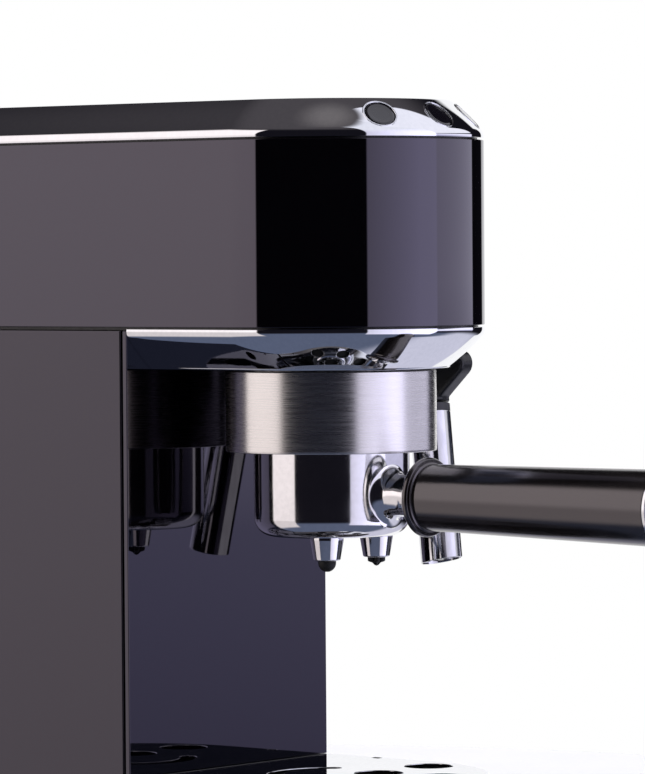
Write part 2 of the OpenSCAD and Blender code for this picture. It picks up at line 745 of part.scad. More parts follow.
module drip_grille() color("#dfe0e2") in_group() difference() {
    translate([0, 0, grille_top - grille_t]) linear_extrude(grille_t)
        difference() {
            plan(body_r + 0.2, tray_back);
            for (x = [-1, 1]) translate([x * (body_r - 1.9) - 1.4, 24.7]) square([2.8, 4]);
            // large round holes on both sides of the middle
            for (x = [-47.4, -14.4, 14.4, 47.4]) translate([x, -12]) circle(r = 10.2);
            for (x = [-19.2, 19.2]) translate([x, -40.4]) circle(r = 10.2);
            // curved slot behind the holes, with round ends
            difference() {
                sector(slot_r + 3.5, 40, 140);
                circle(r = slot_r - 3.5);
            }
            for (a = [40, 140]) translate(slot_r * [cos(a), sin(a)]) circle(r = 3.5);
        }
}

// ---- Water tank ----

module water_tank() color("#9fb4c0", 0.6) in_group() difference() {
    union() {
        difference() {
            translate([0, 0, tank_low]) linear_extrude(tank_high - tank_low)
                round_plan([-tank_half, tank_front + 0.4], [tank_half, body_back], tank_corner);
            translate([0, 0, tank_low + tank_wall]) linear_extrude(tank_high)
                round_plan([-tank_half + tank_wall, tank_front + 0.4 + tank_wall],
                    [tank_half - tank_wall, body_back - tank_wall], tank_corner - tank_wall);
        }
        // ledge and ears for the lid
        translate([-tank_half + tank_corner, tank_front + 0.4, tank_high - 6])
            cube([2 * (tank_half - tank_corner), 7, 6]);
        for (x = [-24, 20]) translate([x, lid_hinge_y, lid_hinge_z]) rotate([0, 90, 0]) {
            cylinder(r = 3, h = 4);
            translate([0, -3, 0]) cube([6, 6, 4]);
        }
        // outlet neck below the floor
        translate([0, valve_y, tank_low - 9]) cylinder(r = valve_r, h = 10);
        // guide for the valve stem
        translate([0, valve_y, tank_low]) cylinder(r = valve_r + 2, h = 12);
    }
    translate([0, valve_y, tank_low - 10]) cylinder(r = 3.4, h = 12);
    translate([0, valve_y, tank_low + 1]) cylinder(r = valve_r, h = 9);
    translate([0, valve_y, tank_low]) cylinder(r = 2.1, h = 20);
    // water ways into the valve chamber
    for (turn = [0, 90]) translate([0, valve_y, tank_low + 4.5])
        rotate([90, 0, turn]) translate([0, 0, -12]) cylinder(r = 1.8, h = 24);
    translate([-30, lid_hinge_y, lid_hinge_z]) rotate([0, 90, 0])
        cylinder(r = lid_pin_r + 0.05, h = 60);
}

module tank_lid() color("#2a2a2e") in_group() difference() {
    union() {
        translate([0, 0, tank_high + 0.4]) linear_extrude(4.2) intersection() {
            round_plan([-tank_half, tank_front + 0.4], [tank_half, body_back], tank_corner);
            translate([-tank_half, lid_hinge_y + 3.6]) square([2 * tank_half, 80]);
        }
        // skirt that drops into the tank
        translate([0, 0, tank_high - 3]) linear_extrude(4) difference() {
            intersection() {
                round_plan([-tank_half + 3, tank_front + 3.4], [tank_half - 3, body_back - 3],
                    tank_corner - 3);
                translate([-tank_half, lid_hinge_y + 9]) square([2 * tank_half, 80]);
            }
            intersection() {
                round_plan([-tank_half + 5, tank_front + 5.4], [tank_half - 5, body_back - 5],
                    tank_corner - 5);
                translate([-tank_half, lid_hinge_y + 11]) square([2 * tank_half, 80]);
            }
        }
        // knuckle and its arm
        translate([-19.6, lid_hinge_y, lid_hinge_z]) rotate([0, 90, 0])
            cylinder(r = 3, h = 39.2);
        translate([-19.6, lid_hinge_y, tank_high + 3]) cube([39.2, 6, 2.4]);
        // finger lip
        translate([-16, body_back - 14, tank_high + 4.4]) cube([32, 4, 3]);
    }
    translate([-30, lid_hinge_y, lid_hinge_z]) rotate([0, 90, 0])
        cylinder(r = lid_pin_r + running, h = 60);
}

module lid_pin() color("#b8b8ba") in_group()
    translate([-24, lid_hinge_y, lid_hinge_z]) rotate([0, 90, 0])
        cylinder(r = lid_pin_r, h = 48);

module tank_valve() color("#7a3b34") in_group() translate([0, valve_y, 0]) {
    translate([0, 0, tank_low + 2.3]) cylinder(r = 5.6, h = 2);
    translate([0, 0, tank_low - 7]) cylinder(r = 2, h = 10);
    translate([0, 0, tank_low + 4]) cylinder(r = 2, h = 13);
}

// ---- Switch ----

module power_switch() color("#1b1b1e") in_group() difference() {
    translate([body_r - 14, rocker_y - 10.8, rocker_z - 7.8]) cube([14.2, 21.6, 15.6]);
    translate([body_r - 9, rocker_y - 9.4, rocker_z - 6.4]) cube([14, 18.8, 12.8]);
    translate([body_r - 2.4, rocker_y, rocker_z - 12]) cylinder(r = 1, h = 24);
}

module power_rocker() color("#101012") in_group()
    translate([body_r - 2.4, rocker_y, rocker_z - 5.9]) {
        rotate([0, 0, 6]) linear_extrude(11.8) difference() {
            polygon([[-2.6, -8.6], [3.4, -8.4], [2.6, 0], [3.4, 8.4], [-2.6, 8.6]]);
            translate([-1.5, 4]) circle(r = 0.5);
        }
        translate([0, 0, -1.4]) cylinder(r = 0.92, h = 14.6);
    }

base_pan();
rubber_feet();
case_screws();
chassis_frame();
left_side_panel();
right_side_panel();
front_panel();
rear_cover();
head_shell();
head_frame();
top_bezel();
lower_bezel();
underside_plate();
cup_plate();
button_one_cup();
button_two_cups();
button_steam();
button_rings();
control_board();
group_collar();
group_head();
group_gasket();
shower_screen();
shower_screw();
thermoblock();
thermostats();
pump();
pump_mounts();
flow_meter();
solenoid_valve();
suction_hose();
pressure_hose();
steam_valve();
steam_knob();
knob_spindle();
portafilter_body();
spouts();
spout_tips();
filter_basket();
basket_spring();
handle_ferrule();
handle_grip();
handle_end_ring();
handle_end_cap();
handle_rod();
wand_socket();
wand_elbow();
wand_band();
frother_sleeve();
steam_tube();
tray_body();
drip_grille();
tank_seat();
water_tank();
tank_lid();
lid_pin();
tank_valve();
power_switch();
power_rocker();
cord_gland();
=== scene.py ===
"""Slim pump espresso machine: detailed pieces, materials, floor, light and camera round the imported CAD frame.
Lengths in the helpers are millimetres from the vertical axis of the brewing group; Blender gets metres."""

from math import atan2, cos, exp, pi, radians, sin, tan

import bmesh
import bpy
from mathutils import Matrix, Vector, noise


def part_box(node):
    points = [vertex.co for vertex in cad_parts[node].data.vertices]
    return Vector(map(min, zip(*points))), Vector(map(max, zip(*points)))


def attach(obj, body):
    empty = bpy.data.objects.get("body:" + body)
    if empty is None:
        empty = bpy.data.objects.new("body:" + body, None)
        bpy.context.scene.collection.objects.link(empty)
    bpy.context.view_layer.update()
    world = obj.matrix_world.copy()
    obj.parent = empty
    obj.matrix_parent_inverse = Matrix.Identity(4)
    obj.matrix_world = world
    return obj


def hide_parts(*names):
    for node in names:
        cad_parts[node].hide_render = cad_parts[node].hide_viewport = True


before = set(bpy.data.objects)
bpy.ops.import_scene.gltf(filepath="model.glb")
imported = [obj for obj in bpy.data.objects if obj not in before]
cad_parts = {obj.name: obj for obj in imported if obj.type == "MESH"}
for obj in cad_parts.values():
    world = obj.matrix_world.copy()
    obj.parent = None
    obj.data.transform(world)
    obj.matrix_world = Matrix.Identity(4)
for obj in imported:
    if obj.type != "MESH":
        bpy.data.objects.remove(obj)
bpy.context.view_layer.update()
MM = 0.001

collar_lo, collar_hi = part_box("group_collar")
GX, GY = (collar_lo.x + collar_hi.x) / 2, (collar_lo.y + collar_hi.y) / 2


def place(x, y, z):
    """A point given in millimetres from the group axis, in the row frame."""
    return Vector((GX + x * MM, GY + y * MM, z * MM))


def span(node):
    """A CAD node's box in millimetres from the group axis."""
    lo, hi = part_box(node)
    return [
        Vector(((p.x - GX) / MM, (p.y - GY) / MM, p.z / MM)) for p in (lo, hi)
    ]


# ---------------------------------------------------------------- sections and meshes


def fillet(points, radii, steps=5, closed=True):
    """Rounds the corners of a section."""
    out, count = [], len(points)
    for i, p in enumerate(points):
        r = radii[i] if isinstance(radii, (list, tuple)) else radii
        p = Vector(p)
        if r <= 0 or (not closed and i in (0, count - 1)):
            out.append(tuple(p))
            continue
        a, b = Vector(points[i - 1]) - p, Vector(points[(i + 1) % count]) - p
        la, lb = a.length, b.length
        a.normalize(), b.normalize()
        half = a.angle(b) / 2
        if half > pi / 2 - 0.01:
            out.append(tuple(p))
            continue
        t = min(r / tan(half), la * 0.49, lb * 0.49)
        r = t * tan(half)
        c = p + (a + b).normalized() * (r / sin(half))
        s, e = p + a * t - c, p + b * t - c
        a0 = atan2(s.y, s.x)
        turn = (atan2(e.y, e.x) - a0 + pi) % (2 * pi) - pi
        for k in range(steps + 1):
            w = a0 + turn * k / steps
            out.append((c.x + r * cos(w), c.y + r * sin(w)))
    return out


def build(name, bm, sharp=32, weighted=True):
    """Turns a bmesh into an object: smooth faces, sharp corners, face-weighted normals."""
    bmesh.ops.remove_doubles(bm, verts=bm.verts, dist=1e-7)
    bmesh.ops.recalc_face_normals(bm, faces=bm.faces)
    for f in bm.faces:
        f.smooth = True
    for e in bm.edges:
        e.smooth = not (
            len(e.link_faces) == 2 and e.calc_face_angle(0) > radians(sharp)
        )
    mesh = bpy.data.meshes.new(name)
    bm.to_mesh(mesh)
    bm.free()
    obj = bpy.data.objects.new(name, mesh)
    bpy.context.scene.collection.objects.link(obj)
    if weighted:
        mod = obj.modifiers.new("normals", "WEIGHTED_NORMAL")
        mod.keep_sharp = True
    return obj


def skin(bm, rings, closed=False, caps=True):
    """Joins rings of points with faces; a ring of one point is a pole."""
    verts = [[bm.verts.new(p) for p in ring] for ring in rings]
    pairs = list(zip(verts, verts[1:]))
    if closed:
        pairs.append((verts[-1], verts[0]))
    for a, b in pairs:
        if len(a) == 1 and len(b) == 1:
            continue
        for i in range(max(len(a), len(b))):
            j = (i + 1) % max(len(a), len(b))
            if len(a) == 1:
                bm.faces.new((a[0], b[j], b[i]))
            elif len(b) == 1:
                bm.faces.new((a[i], a[j], b[0]))
            else:
                bm.faces.new((a[i], a[j], b[j], b[i]))
    if caps and not closed:
        for ring in (verts[0], verts[-1]):
            if len(ring) > 2:
                bm.faces.new(ring)


def turned(bm, profile, to, seg=128, shape=None, closed=True):
    """A body of revolution: (radius, height) pairs about the Z axis of a placing matrix."""
    rings = []
    for r, z in profile:
        if r < 1e-6:
            rings.append([to @ Vector((0, 0, z * MM))])
            continue
        ring = []
        for i in range(seg):
            w = 2 * pi * i / seg
            p = Vector((r * cos(w), r * sin(w), z))
            if shape:
                p = shape(p, w)
            ring.append(to @ (p * MM))
        rings.append(ring)
    skin(bm, rings, closed=closed and profile[0][0] > 1e-6, caps=False)


def lathe(name, profile, to, seg=128, shape=None, sharp=32):
    bm = bmesh.new()
    turned(bm, profile, to, seg, shape)
    return build(name, bm, sharp)


def u_path(r, back, seg=96):
    """Half round in front and straight sides to the back, as (x, y) points."""
    arc = [
        (r * cos(pi + pi * i / seg), r * sin(pi + pi * i / seg)) for i in range(seg + 1)
    ]
    return [(-r, back), (-r, back * 0.5)] + arc + [(r, back * 0.5), (r, back)]


def skirt(name, section, back, seg=96):
    """A section in radius and height, carried round the front and along both sides."""
    paths = [u_path(r, back, seg) for r, _ in section]
    rings = [
        [place(*paths[k][i], section[k][1]) for k in range(len(section))]
        for i in range(len(paths[0]))
    ]
    bm = bmesh.new()
    skin(bm, rings)
    return build(name, bm)


def round_rect(x0, y0, x1, y1, r, seg=8):
    r = max(r, 0.05)
    out = []
    for cx, cy, start in (
        (x1 - r, y1 - r, 0),
        (x0 + r, y1 - r, 90),
        (x0 + r, y0 + r, 180),
        (x1 - r, y0 + r, 270),
    ):
        for i in range(seg + 1):
            w = radians(start + 90 * i / seg)
            out.append((cx + r * cos(w), cy + r * sin(w)))
    return out


def circle(x, y, r, seg=48):
    return [
        (x + r * cos(2 * pi * i / seg), y + r * sin(2 * pi * i / seg))
        for i in range(seg)
    ]


def loft(name, loops, sharp=32):
    """Closed body through loops of (points, height)."""
    bm = bmesh.new()
    skin(bm, [[place(x, y, z) for x, y in loop] for loop, z in loops])
    return build(name, bm, sharp)


def plate(name, loops, thickness, to, bevel=0.3, steps=2):
    """A flat plate with holes and rounded edges; its mid-plane is the matrix's XY plane."""
    curve = bpy.data.curves.new(name, "CURVE")
    curve.dimensions = "2D"
    curve.fill_mode = "BOTH"
    for loop in loops:
        spline = curve.splines.new("POLY")
        spline.points.add(len(loop) - 1)
        for point, (x, y) in zip(spline.points, loop):
            point.co = (x * MM, y * MM, 0, 1)
        spline.use_cyclic_u = True
    curve.extrude = (thickness / 2 - bevel) * MM
    curve.bevel_depth = bevel * MM
    curve.offset = -bevel * MM
    curve.bevel_resolution = steps
    source = bpy.data.objects.new(name + "_outline", curve)
    bpy.context.scene.collection.objects.link(source)
    graph = bpy.context.evaluated_depsgraph_get()
    mesh = bpy.data.meshes.new_from_object(source.evaluated_get(graph))
    bpy.data.objects.remove(source)
    bpy.data.curves.remove(curve)
    bm = bmesh.new()
    bm.from_mesh(mesh)
    bpy.data.meshes.remove(mesh)
    bmesh.ops.transform(bm, matrix=to, verts=bm.verts)
    return build(name, bm)


def baked(obj, sharp=32):
    """Applies an object's modifiers and renews its sharp corners."""
    graph = bpy.context.evaluated_depsgraph_get()
    mesh = bpy.data.meshes.new_from_object(obj.evaluated_get(graph))
    name = obj.name
    bpy.data.objects.remove(obj)
    bm = bmesh.new()
    bm.from_mesh(mesh)
    bpy.data.meshes.remove(mesh)
    return build(name, bm, sharp)


def cut(obj, cutters, sharp=32):
    """Takes the cutters out of an object."""
    for mod in list(obj.modifiers):
        obj.modifiers.remove(mod)
    for c in cutters:
        mod = obj.modifiers.new("cut", "BOOLEAN")
        mod.object, mod.operation, mod.solver = c, "DIFFERENCE", "EXACT"
    done = baked(obj, sharp)
    for c in cutters:
        bpy.data.objects.remove(c)
    return done


def melted(obj, voxel, rounds=6, sharp=180):
    """Fuses overlapping shells into one soft-edged casting."""
    for mod in list(obj.modifiers):
        obj.modifiers.remove(mod)
    mod = obj.modifiers.new("fuse", "REMESH")
    mod.mode, mod.voxel_size = "VOXEL", voxel * MM
    mod = obj.modifiers.new("soften", "SMOOTH")
    mod.factor, mod.iterations = 0.5, rounds
    return baked(obj, sharp)


def joined(name, objects):
    """One object from several."""
    bm = bmesh.new()
    for o in objects:
        bm.from_mesh(o.data)
        bpy.data.objects.remove(o)
    return build(name, bm)


def rod(name, r, z0, z1, to, seg=48):
    return lathe(name, [(0, z0), (r, z0), (r, z1), (0, z1)], to, seg)


def turn(axis, degrees):
    return Matrix.Rotation(radians(degrees), 4, axis)


def stand(x, y, z):
    return Matrix.Translation(place(x, y, z))


# ---------------------------------------------------------------- materials


class Graph:
    """Short-hand for node trees."""

    def __init__(self, tree):
        self.tree = tree

    def node(self, kind, **values):
        made = self.tree.nodes.new(kind)
        for key, value in values.items():
            setattr(made, key, value)
        return made

    def put(self, socket, value):
        if isinstance(value, bpy.types.NodeSocket):
            self.tree.links.new(value, socket)
        else:
            socket.default_value = value

    def math(self, kind, *values, clamp=False):
        made = self.node("ShaderNodeMath", operation=kind, use_clamp=clamp)
        for i, value in enumerate(values):
            self.put(made.inputs[i], value)
        return made.outputs[0]

    def fit(self, value, a, b, c=0.0, d=1.0, smooth=True):
        made = self.node(
            "ShaderNodeMapRange",
            interpolation_type="SMOOTHSTEP" if smooth else "LINEAR",
        )
        for i, x in enumerate((value, a, b, c, d)):
            self.put(made.inputs[i], x)
        return made.outputs[0]

    def mix(self, factor, a, b):
        made = self.node("ShaderNodeMix", data_type="RGBA")
        self.put(made.inputs[0], factor)
        for i, x in ((6, a), (7, b)):
            self.put(
                made.inputs[i],
                x if isinstance(x, bpy.types.NodeSocket) else (*x[:3], 1),
            )
        return made.outputs[2]

    def noise(self, scale, stretch=(1, 1, 1), detail=3, rough=0.5):
        where = self.node("ShaderNodeTexCoord").outputs["Object"]
        mapped = self.node("ShaderNodeMapping")
        self.put(mapped.inputs["Vector"], where)
        mapped.inputs["Scale"].default_value = stretch
        made = self.node("ShaderNodeTexNoise")
        self.put(made.inputs["Vector"], mapped.outputs[0])
        made.inputs["Scale"].default_value = scale
        made.inputs["Detail"].default_value = detail
        made.inputs["Roughness"].default_value = rough
        return made.outputs["Fac"]


MATERIALS = {}


def material(
    name,
    dark,
    light,
    rough,
    metallic=0.0,
    scale=900.0,
    stretch=(1, 1, 1),
    bump=0.0,
    depth=0.02,
    wave=0.0,
    wear=0.0,
    grain_rough=0.5,
    **sockets,
):
    """Tone between two colours and roughness between two values follow fine noise; bump is the grain,
    wave a slow unevenness, and wear brightens raised edges."""
    made = bpy.data.materials.new("look_" + name)
    made.use_nodes = True
    g = Graph(made.node_tree)
    shader = made.node_tree.nodes["Principled BSDF"]
    fine = g.noise(scale, stretch, 4, grain_rough)
    broad = g.noise(28, (1, 1, 1), 3)
    tone = g.math(
        "ADD",
        g.math("MULTIPLY", g.fit(fine, 0.3, 0.7), 0.55),
        g.math("MULTIPLY", g.fit(broad, 0.3, 0.7), 0.45),
    )
    colour = g.mix(tone, dark, light)
    if wear:
        edge = g.node("ShaderNodeNewGeometry").outputs["Pointiness"]
        worn = tuple(min(1, c + wear) for c in light)
        colour = g.mix(g.fit(edge, 0.52, 0.6), colour, worn)
    g.put(shader.inputs["Base Color"], colour)
    g.put(shader.inputs["Metallic"], metallic)
    spots = g.noise(scale * 0.23, stretch, 3)
    g.put(shader.inputs["Roughness"], g.fit(spots, 0.3, 0.72, rough[0], rough[1]))
    height = g.math("MULTIPLY", fine, 1.0)
    if wave:
        height = g.math(
            "ADD", g.math("MULTIPLY", fine, bump), g.math("MULTIPLY", broad, wave)
        )
        bump = 1.0
    if bump:
        relief = g.node("ShaderNodeBump")
        g.put(relief.inputs["Strength"], min(bump, 1.0))
        g.put(relief.inputs["Distance"], depth * MM)
        g.put(relief.inputs["Height"], height)
        g.put(shader.inputs["Normal"], relief.outputs[0])
    for key, value in sockets.items():
        shader.inputs[key.replace("_", " ")].default_value = value
    MATERIALS[name] = made
    return made


material("gloss_black", (0.0006, 0.0005, 0.0008), (0.0014, 0.0012, 0.0016), (0.012, 0.03), scale=700,
         bump=0.05, depth=0.003, IOR=1.8, Specular_Tint=(1, 0.92, 1.12, 1))
material("side_paint", (0.0010, 0.0008, 0.0010), (0.0022, 0.0018, 0.0022), (0.1, 0.13), scale=2400,
         bump=0.1, depth=0.005, IOR=1.72, Specular_Tint=(1, 0.92, 1.1, 1))
material("black_plastic", (0.0028, 0.0028, 0.0034), (0.0070, 0.0070, 0.0080), (0.28, 0.38), scale=2600,
         bump=0.25, depth=0.02, wear=0.006)
material("button_black", (0.0020, 0.0016, 0.0032), (0.0045, 0.0038, 0.0065), (0.06, 0.11), scale=1500,
         bump=0.08, depth=0.005, Coat_Weight=0.6, Coat_Roughness=0.03)
material("chrome", (0.84, 0.85, 0.87), (0.92, 0.925, 0.94), (0.012, 0.035), 1.0, scale=600,
         bump=0.06, depth=0.003)
material("brushed_steel", (0.81, 0.785, 0.76), (0.87, 0.845, 0.815), (0.24, 0.31), 1.0, scale=34,
         stretch=(7, 7, 320), bump=0.14, depth=0.003, grain_rough=0.4,
         Anisotropic=0.45, Anisotropic_Rotation=0.25)
material("polished_steel", (0.60, 0.595, 0.60), (0.74, 0.735, 0.745), (0.06, 0.13), 1.0, scale=500,
         stretch=(1, 1, 0.2), bump=0.1, depth=0.006)
material("polished_alloy", (0.84, 0.83, 0.835), (0.92, 0.91, 0.915), (0.07, 0.12), 1.0, scale=420,
         bump=0.05, depth=0.006, wave=0.7)
material("grille_steel", (0.72, 0.73, 0.75), (0.86, 0.865, 0.88), (0.03, 0.06), 1.0, scale=500,
         bump=0.06, depth=0.004)
material("steel", (0.42, 0.42, 0.43), (0.62, 0.62, 0.63), (0.18, 0.3), 1.0, scale=800, bump=0.2)
material("zinc_steel", (0.36, 0.37, 0.39), (0.56, 0.57, 0.58), (0.3, 0.5), 1.0, scale=160, bump=0.2)
material("cast_alloy", (0.36, 0.36, 0.37), (0.55, 0.55, 0.56), (0.35, 0.55), 1.0, scale=1600,
         bump=0.5, depth=0.05)
material("brass", (0.45, 0.32, 0.12), (0.62, 0.46, 0.19), (0.2, 0.36), 1.0, scale=900, bump=0.2)
material("handle_black", (0.0022, 0.0018, 0.0018), (0.0055, 0.0045, 0.0042), (0.15, 0.2), scale=3200,
         bump=0.25, depth=0.01, wear=0.01, IOR=2.0, Specular_Tint=(1, 0.93, 0.95, 1))
material("band_grey", (0.022, 0.022, 0.025), (0.036, 0.035, 0.039), (0.32, 0.42), scale=2600,
         bump=0.3, depth=0.02)
material("rubber", (0.004, 0.004, 0.004), (0.011, 0.0105, 0.010), (0.5, 0.7), scale=2200,
         bump=0.4, depth=0.04)
material("silicone", (0.55, 0.57, 0.58), (0.75, 0.77, 0.78), (0.3, 0.45), scale=900, bump=0.2)
material("board_green", (0.012, 0.09, 0.045), (0.03, 0.16, 0.08), (0.3, 0.5), scale=1400, bump=0.3)
material("ceramic_white", (0.6, 0.57, 0.5), (0.78, 0.75, 0.69), (0.4, 0.6), scale=1400, bump=0.3)
material("pump_grey", (0.09, 0.095, 0.105), (0.15, 0.155, 0.17), (0.35, 0.55), scale=1200, bump=0.3)
material("coil_blue", (0.02, 0.045, 0.13), (0.04, 0.08, 0.2), (0.3, 0.5), scale=1200, bump=0.3)
material("clear_plastic", (0.75, 0.75, 0.73), (0.86, 0.86, 0.84), (0.12, 0.25), scale=900, bump=0.1,
         Transmission_Weight=0.6)
material("tank_clear", (0.30, 0.33, 0.36), (0.40, 0.43, 0.46), (0.05, 0.12), scale=500, bump=0.1,
         depth=0.01, Transmission_Weight=0.9, IOR=1.3)
material("valve_red", (0.22, 0.03, 0.02), (0.34, 0.055, 0.04), (0.4, 0.55), scale=1200, bump=0.3)

for slot in ("brushed_steel",):
    tree = MATERIALS[slot].node_tree
    tangent = tree.nodes.new("ShaderNodeTangent")
    tangent.direction_type, tangent.axis = "RADIAL", "Z"
    tree.links.new(tangent.outputs[0], tree.nodes["Principled BSDF"].inputs["Tangent"])

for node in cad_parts.values():
    for holder in node.material_slots:
        holder.material = MATERIALS[holder.material.name.split(".")[0]]


def piece(obj, body, slot, *nodes):
    """Finish, body and CAD nodes of a new piece."""
    obj.data.materials.clear()
    obj.data.materials.append(MATERIALS[slot])
    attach(obj, body)
    if nodes:
        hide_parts(*nodes)
    return obj


# ---------------------------------------------------------------- camera, light and floor

camera = bpy.data.objects.new("camera", bpy.data.cameras.new("camera"))
bpy.context.scene.collection.objects.link(camera)
EYE = (-1553.74, -1279.35, 242.77)
yaw, pitch, roll = radians(39.567), radians(1.540), radians(-0.408)
ahead = Vector((cos(yaw) * cos(pitch), sin(yaw) * cos(pitch), -sin(pitch)))
right = Vector((sin(yaw), -cos(yaw), 0))
above = right.cross(ahead)
right, above = cos(roll) * right + sin(roll) * above, cos(roll) * above - sin(roll) * right
turned_to = Matrix((right, above, -ahead)).transposed().to_4x4()
camera.matrix_world = Matrix.Translation(place(*EYE)) @ turned_to
camera.data.lens = 229.33
camera.data.sensor_width = 36
camera.data.clip_end = 50
bpy.context.scene.camera = camera
bpy.context.scene.view_settings.view_transform = "Standard"

world = bpy.data.worlds.new("studio")
bpy.context.scene.world = world
world.use_nodes = True
world.node_tree.nodes.clear()
g = Graph(world.node_tree)
split = g.node("ShaderNodeSeparateXYZ")
g.put(split.inputs[0], g.node("ShaderNodeTexCoord").outputs["Generated"])
sx, sy, sz = split.outputs
azimuth = g.math("MULTIPLY", g.math("ARCTAN2", sx, g.math("MULTIPLY", sy, -1.0)), 180 / pi)
height = g.math("MULTIPLY", g.math("ARCSINE", sz), 180 / pi)


def band(value, a, b, soft):
    """1 between a and b, with soft edges."""
    return g.math("MULTIPLY", g.fit(value, a - soft, a + soft), g.fit(value, b + soft, b - soft))


left_box = g.math("MULTIPLY", band(azimuth, -157, -107, 0.8), band(height, -38, 42, 5))
left_fade = g.mix(g.fit(height, -9, 1, smooth=False), (0.72, 0.66, 0.67), (1.15, 1.06, 1.07))
near_box = g.math("MULTIPLY", band(azimuth, -23, 36, 0.8), band(height, -30, 77, 2.5))
far_box = g.math("MULTIPLY", band(azimuth, 34, 82, 0.8), band(height, -7.5, 77, 2))
turning = g.mix(g.fit(azimuth, -23, 20, smooth=False), (0.70, 0.68, 0.84), (1.22, 1.20, 1.58))
near_colour = g.mix(g.fit(height, 10, 50), turning, (0.86, 0.87, 0.98))
far_high = g.mix(g.fit(height, 7.5, 10), (0.030, 0.034, 0.055), (0.92, 0.92, 1.04))
far_high = g.mix(g.fit(height, 3, 4.2), (1.06, 1.04, 1.28), far_high)
low_fade = g.mix(
    g.fit(height, -6.4, -3.2, smooth=False), (0.29, 0.28, 0.43), (0.43, 0.425, 0.62)
)
far_colour = g.mix(g.fit(height, -3.2, -0.3, smooth=False), low_fade, far_high)
backdrop = g.math(
    "MULTIPLY",
    g.math("MAXIMUM", g.fit(azimuth, 105, 107), g.fit(azimuth, -156, -158)),
    band(height, -34, 27, 4),
)
table_right = g.math("MULTIPLY", band(azimuth, 58, 150, 12), band(height, -75, -18, 8))
light = g.mix(g.fit(height, -25, -12), (0.10, 0.12, 0.19), (0.007, 0.0065, 0.010))
light = g.mix(g.fit(height, 35, 60), light, (0.070, 0.064, 0.072))
light = g.mix(g.fit(height, 74, 88), light, (0.16, 0.148, 0.155))
light = g.mix(table_right, light, (0.62, 0.62, 0.76))
light = g.mix(left_box, light, left_fade)
light = g.mix(far_box, light, far_colour)
light = g.mix(near_box, light, near_colour)
light = g.mix(backdrop, light, (1.0, 1.0, 1.02))
seen = g.node("ShaderNodeLightPath").outputs["Is Camera Ray"]
shown = g.mix(seen, light, (1.0, 1.0, 1.0))
sky = g.node("ShaderNodeBackground")
g.put(sky.inputs["Color"], shown)
g.put(g.node("ShaderNodeOutputWorld").inputs[0], sky.outputs[0])


def soft_light(name, where, aim, width, tall, power, colour=(1, 1, 1)):
    data = bpy.data.lights.new(name, "AREA")
    data.shape, data.size, data.size_y = "RECTANGLE", width, tall
    data.energy, data.color = power, colour
    lamp = bpy.data.objects.new(name, data)
    bpy.context.scene.collection.objects.link(lamp)
    lamp.location = where
    lamp.rotation_mode = "QUATERNION"
    lamp.rotation_quaternion = (Vector(aim) - Vector(where)).to_track_quat("-Z", "Y")
    lamp.visible_glossy = False
    return lamp


soft_light("top_soft", (0.2, -0.2, 1.8), (0, 0, 0), 1.6, 1.6, 30)

bm = bmesh.new()
TABLE_R = 380
turned(
    bm,
    [(0, 0), (TABLE_R - 2, 0), (TABLE_R - 0.5, -0.6), (TABLE_R, -2), (TABLE_R, -12), (0, -12)],
    stand(0, 80, 0), 160,
)
floor = build("floor", bm)
tabletop = material("floor", (0.93, 0.93, 0.935), (0.96, 0.96, 0.962), (0.5, 0.6), scale=300, bump=0.05)
floor.data.materials.append(tabletop)
floor.visible_glossy = False

# ---------------------------------------------------------------- head

shell_lo, shell_hi = span("head_shell")
R = shell_hi.x
BACK = shell_hi.y
TOP = span("top_bezel")[1].z
UNDER = span("lower_bezel")[0].z
COLUMN = span("front_panel")[0].y
top_lo = span("top_bezel")[0].z
low_hi = span("lower_bezel")[1].z

shell = skirt(
    "gloss_band",
    fillet([(R, shell_lo.z), (R, shell_hi.z), (R - 2.5, shell_hi.z), (R - 2.5, shell_lo.z)], 0.3, 4),
    BACK,
)
knob_lo, knob_hi = span("steam_knob")
KNOB = ((knob_lo.y + knob_hi.y) / 2, (knob_lo.z + knob_hi.z) / 2)
to_knob = stand(0, *KNOB) @ turn("Y", 90)
shell = cut(shell, [rod("hole", 4.6, R - 6, R + 4, to_knob)])
piece(shell, "body", "gloss_black", "head_shell")

LIP = 1.6
INSET = 13.0
JOIN = 0.6


def bezel_side(start, end, sign):
    """Outer face of a bezel: a full round lip that runs into a gently crowned slope."""
    lip = [
        (R - 4.5 + 4.5 * cos(radians(w)), start + sign * (0.9 + 4.5 * sin(radians(w))))
        for w in range(0, 37, 4)
    ]
    foot, top = Vector(lip[-1]), Vector(end)
    out = Vector((top - foot).yx).normalized()
    out.x, out.y = abs(out.x), sign * abs(out.y)
    crown = [foot.lerp(top, k / 12) + out * 0.45 * 4 * (k / 12) * (1 - k / 12) for k in range(1, 12)]
    return lip + [tuple(p) for p in crown] + [tuple(top)]


face = bezel_side(top_lo - JOIN, (R - INSET + 0.3, TOP - 0.5), 1)
bezel = skirt(
    "top_bezel_ring",
    [(R - 0.25, top_lo - JOIN), (R - 0.05, top_lo - JOIN + 0.2)] + face
    + [(R - INSET - 0.1, TOP - 0.2), (R - INSET - 0.5, TOP), (R - INSET - 1.2, TOP),
       (R - INSET - 1.2, TOP - 2.6), (R - 3, top_lo - JOIN)],
    BACK,
    160,
)
SLOPE = atan2(TOP - top_lo - LIP, INSET)
BUTTON_R = 56.6
BUTTON_Z = top_lo + LIP + (TOP - top_lo - LIP) * (R - BUTTON_R) / INSET
BUTTON_STEP = 29.7


def on_slope(angle):
    """Z out of the bezel's slope, at one of the buttons."""
    return (
        stand(0, 0, 0)
        @ turn("Z", angle)
        @ Matrix.Translation(Vector((0, -BUTTON_R, BUTTON_Z)) * MM)
        @ Matrix.Rotation(SLOPE, 4, "X")
    )


